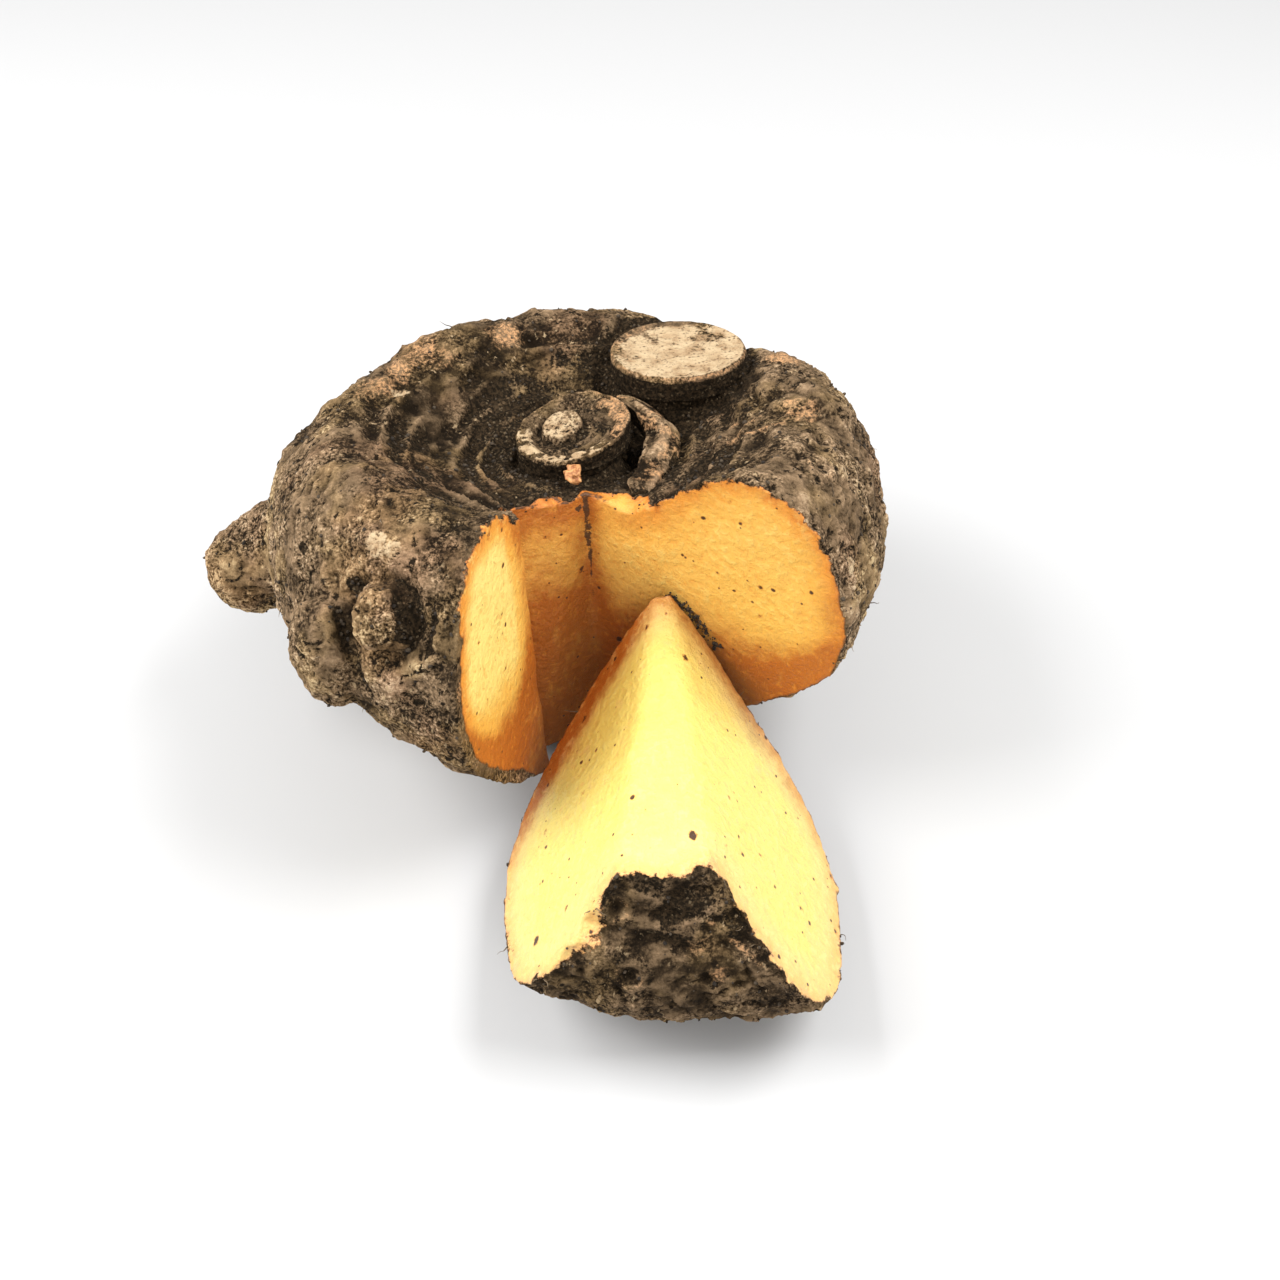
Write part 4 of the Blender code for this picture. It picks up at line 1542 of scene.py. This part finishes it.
@dataclass
class FleshChip:
    """A chip of flesh that the knife left on the soil in front of the eye."""

    place: Place = (0.0005, -0.0140, 0.0355)
    size: Place = (0.0030, 0.0034, 0.0022)

    def build(self, finish: PlainFinish) -> bpy.types.Object:
        """Makes the chip.

        Args:
            finish: Its finish.

        Returns:
            The finished object.
        """
        point = corm_frame() @ Vector(self.place)
        shape = bmesh.new()
        made = bmesh.ops.create_icosphere(shape, subdivisions=4, radius=1.0)["verts"]
        for vertex in made:
            rough = 1.0 + 0.80 * noise.noise(vertex.co * 1.6) + 0.20 * noise.noise(vertex.co * 4.5)
            vertex.co = point + Vector((part * rough * size for part, size in zip(vertex.co, self.size)))
        work = Sculpture(mesh_of(shape, "flesh_chip"), corm_frame())
        return work.finish("flesh_chip", finish.material(), Corm.slot, Corm.node_name)


class LitterKind(Enum):
    """What lies or grows on the skin."""

    CRUMBS = "crumbs"
    ROOTLETS = "rootlets"


@dataclass
class Litter:
    """Crumbs of soil and thin rootlets that lie on the skin."""

    seed: int = 5
    crumb_size: tuple[float, float] = (0.00025, 0.0009)
    root_length: tuple[float, float] = (0.0022, 0.0064)
    root_width: float = 0.00028
    root_steps: int = 6
    root_taper: float = 0.85
    soil_finish: PlainFinish = PlainFinish("crumbs", (0.020, 0.014, 0.009), (0.085, 0.060, 0.036))
    root_finish: PlainFinish = PlainFinish("rootlets", (0.075, 0.050, 0.028), (0.27, 0.19, 0.11))
    counts: dict[str, int] = field(
        default_factory=lambda: {
            "corm_crumbs": 1500,
            "corm_rootlets": 240,
            "wedge_crumbs": 260,
            "notch_crumbs": 130,
            "wedge_rootlets": 70,
        }
    )

    def crumb(self, shape: bmesh.types.BMesh, chance: random.Random, point: Vector, normal: Vector) -> None:
        """Lays one rough crumb.

        Args:
            shape: The mesh that takes it.
            chance: The draw of its size and turn.
            point: Where it lies.
            normal: The skin's normal there.
        """
        low, high = self.crumb_size
        size = low + (high - low) * chance.random() ** 2
        made = bmesh.ops.create_icosphere(shape, subdivisions=1, radius=size)["verts"]
        turned = Matrix.Rotation(chance.uniform(0, math.tau), 3, normal)
        spread = Vector((chance.uniform(0.7, 1.3), chance.uniform(0.7, 1.3), chance.uniform(0.6, 1.0)))
        for vertex in made:
            rough = 1.0 + 0.35 * noise.noise(vertex.co / size * 1.3 + point * 900)
            vertex.co = point + normal * size * 0.3 + turned @ (vertex.co * spread * rough)

    def rootlet(self, shape: bmesh.types.BMesh, chance: random.Random, point: Vector, normal: Vector) -> None:
        """Grows one bent rootlet that tapers to its end.

        Args:
            shape: The mesh that takes it.
            chance: The draw of its size and bends.
            point: Where it grows.
            normal: The skin's normal there.
        """
        length = chance.uniform(*self.root_length)
        side = normal.cross(Vector([chance.uniform(-1, 1) for _ in range(3)])).normalized()
        way = (normal * chance.uniform(0.15, 0.8) + side).normalized()
        steps, taper = self.root_steps, self.root_taper
        foot = Matrix.Translation(point - normal * 0.0006) @ way.to_track_quat("Z", "Y").to_matrix().to_4x4()
        made = bmesh.ops.create_circle(shape, cap_ends=True, segments=4, radius=self.root_width, matrix=foot)
        end = made["verts"][0].link_faces[0]
        for step in range(steps):
            grown = bmesh.ops.extrude_face_region(shape, geom=[end])["geom"]
            end = next(item for item in grown if isinstance(item, bmesh.types.BMFace))
            bend = Vector([chance.uniform(-0.45, 0.45) for _ in range(3)]) - normal * 0.12
            after = (way + bend).normalized()
            middle = end.calc_center_median()
            thinner = (1.0 - taper * (step + 1) / steps) / (1.0 - taper * step / steps)
            bent = way.rotation_difference(after).to_matrix().to_4x4() @ Matrix.Scale(thinner, 4)
            to_next = Matrix.Translation(middle + after * (length / steps))
            moved = to_next @ bent @ Matrix.Translation(-middle)
            bmesh.ops.transform(shape, matrix=moved, verts=end.verts)
            way = after

    def scatter(self, name: str, kind: LitterKind, piece: bpy.types.Object, weight: np.ndarray) -> None:
        """Scatters crumbs or rootlets over a piece.

        Args:
            name: The new object's name.
            kind: Whether they are crumbs or rootlets.
            piece: The piece that they lie on.
            weight: How likely each of its points is.
        """
        roots = kind is LitterKind.ROOTLETS
        chance = random.Random(self.seed)
        weight = np.clip(weight, 0.0, None)
        levels = np.cumsum(weight / weight.sum())
        shape = bmesh.new()
        vertices = piece.data.vertices
        lay = self.rootlet if roots else self.crumb
        for _ in range(self.counts[name]):
            index = int(min(np.searchsorted(levels, chance.random()), len(levels) - 1))
            lay(shape, chance, vertices[index].co.copy(), vertices[index].normal.copy())
        for vertex in shape.verts:
            vertex.co.z = max(vertex.co.z, 0.0001)
        bmesh.ops.recalc_face_normals(shape, faces=shape.faces)
        finish = self.root_finish if roots else self.soil_finish
        hand_over(name, mesh_of(shape, name), finish.material())

    def build(
        self, corm: Corm, corm_item: bpy.types.Object, wedge: Wedge, wedge_item: bpy.types.Object
    ) -> None:
        """Lays the crumbs and rootlets on both pieces.

        Args:
            corm: The corm's shaping.
            corm_item: The corm.
            wedge: The wedge's shaping.
            wedge_item: The wedge.
        """
        crumbs, rootlets = LitterKind.CRUMBS, LitterKind.ROOTLETS
        work = corm.work
        on_skin = corm.depth < -0.0010
        edge = bump_of(corm.depth + 0.0016, 0.0012) * (work.places[:, 2] > 0.01)
        growing = work.away(corm.plan.eye_middle) > corm.plan.eye_radius + 0.001
        growing &= work.away(corm.plan.stalk_middle) > corm.plan.stalk_radius + 0.001
        upper = work.places[:, 2] > 0.0
        soil = np.clip(work.values[Stored.SOIL_AND_SHADE] - 0.35, 0.0, 1.0) ** 2 * on_skin * (growing | ~upper)
        self.scatter("corm_crumbs", crumbs, corm_item, soil + 0.35 * edge + 0.03 * on_skin)
        flank = on_skin * smooth_step(0.070, 0.095, work.radius) * (0.3 + (work.places[:, 0] > 0.05))
        self.scatter("corm_rootlets", rootlets, corm_item, flank * (work.points[:, 2] > 0.012))
        near_edge = bump_of(wedge.depth + 0.0012, 0.0014)
        high = wedge.work.points[:, 2] > 0.006
        fallen = 0.3 * near_edge + 0.1 * (wedge.depth < -0.001)
        self.scatter("wedge_crumbs", crumbs, wedge_item, fallen * high)
        in_gap = bump_of(corm.gap_away(), 0.0018) * (corm.depth > 0.001)
        self.scatter("notch_crumbs", crumbs, corm_item, in_gap)
        self.scatter("wedge_rootlets", rootlets, wedge_item, (near_edge + 0.1 * (wedge.depth < 0)) * high)


@dataclass(frozen=True)
class Lamp:
    """One square light: where it hangs, its power in watts and the length of its side."""

    name: str
    place: Place
    power: float
    size: float


@dataclass
class Studio:
    """The pale floor, the soft lights and the camera."""

    elevation: float = 48.0
    target: Place = (0.0205, -0.010, 0.032)
    distance: float = 0.68
    view_angle: float = 40.5
    sensor_width: float = 36.0
    lamps: tuple[Lamp, ...] = (
        Lamp("left", (-0.80, -0.08, 0.90), 14.5, 0.7),
        Lamp("right", (0.62, -0.02, 1.00), 11.0, 0.6),
        Lamp("front", (0.20, -1.10, 0.85), 3.5, 0.6),
    )
    lamp_aim: Place = (0.0, -0.03, 0.06)
    world_strength: float = 0.50
    floor_size: float = 40.0
    floor_colour: Colour = (0.63, 0.63, 0.63)

    def floor(self) -> None:
        """Lays the floor."""
        shape = bmesh.new()
        bmesh.ops.create_grid(shape, x_segments=1, y_segments=1, size=self.floor_size / 2)
        mesh = mesh_of(shape, "floor")
        material = bpy.data.materials.new("floor")
        material.use_nodes = True
        shader = material.node_tree.nodes["Principled BSDF"]
        shader.inputs["Base Color"].default_value = (*self.floor_colour, 1.0)
        shader.inputs["Roughness"].default_value = 0.9
        mesh.materials.append(material)
        put("floor", mesh)

    def hang(self, data: bpy.types.ID, place: Vector, way: Vector) -> bpy.types.Object:
        """Puts a light or the camera in place, pointed along a direction.

        Args:
            data: The light or camera.
            place: Where it hangs.
            way: Where it points.

        Returns:
            The object.
        """
        item = put(data.name, data)
        item.location = place
        item.rotation_mode = "QUATERNION"
        item.rotation_quaternion = way.to_track_quat("-Z", "Y")
        return item

    def light(self, lamp: Lamp) -> None:
        """Hangs one light that points at the yam.

        Args:
            lamp: Its place, power and size.
        """
        light = bpy.data.lights.new(lamp.name, "AREA")
        light.energy = lamp.power
        light.size = lamp.size
        self.hang(light, Vector(lamp.place), Vector(self.lamp_aim) - Vector(lamp.place))

    def camera(self) -> None:
        """Sets the camera at the photograph's angle."""
        lift = math.radians(self.elevation)
        back = Vector((0.0, -math.cos(lift), math.sin(lift)))
        lens = bpy.data.cameras.new("camera")
        lens.sensor_width = self.sensor_width
        lens.lens = self.sensor_width / 2 / math.tan(math.radians(self.view_angle) / 2)
        bpy.context.scene.camera = self.hang(lens, Vector(self.target) + back * self.distance, -back)

    def build(self) -> None:
        """Sets up the floor, the lights, the camera and the surrounding light."""
        self.floor()
        self.camera()
        for lamp in self.lamps:
            self.light(lamp)
        world = bpy.data.worlds.new("studio")
        world.use_nodes = True
        background = world.node_tree.nodes["Background"]
        background.inputs["Color"].default_value = (1.0, 1.0, 1.0, 1.0)
        background.inputs["Strength"].default_value = self.world_strength
        bpy.context.scene.world = world
        bpy.context.scene.view_settings.view_transform = "Standard"


def main() -> None:
    """Builds every piece in order."""
    logging.basicConfig(level=logging.INFO, format="%(name)s: %(message)s")
    Studio().build()
    corm = Corm(corm_frame())
    corm_item = corm.build(YamFinish("corm_finish"))
    StalkScar().build(YamFinish("stalk_scar_finish"))
    Eye().build(YamFinish("eye_finish"))
    Collar().build(YamFinish("collar_finish"))
    FleshChip().build(PlainFinish("chip_finish", (0.30, 0.105, 0.032), (0.72, 0.36, 0.135), 0.6))
    wedge = Wedge(wedge_frame())
    # The wedge's flesh gets paler, yellower colours than the corm's: painted light on its faces that look up
    # to the lamps.
    lit_wedge_flesh = YamFinish(
        "wedge_finish",
        flesh_edge=(0.84, 0.45, 0.17),
        flesh_outer=(0.92, 0.56, 0.17),
        flesh_mid=(0.94, 0.70, 0.23),
        flesh_inner=(0.94, 0.76, 0.19),
        flesh_light=(0.97, 0.86, 0.33),
        flesh_strand=(0.93, 0.66, 0.26),
        strand_share=0.42,
    )
    wedge_item = wedge.build(lit_wedge_flesh)
    Litter().build(corm, corm_item, wedge, wedge_item)


if __name__ == "__main__":
    main()
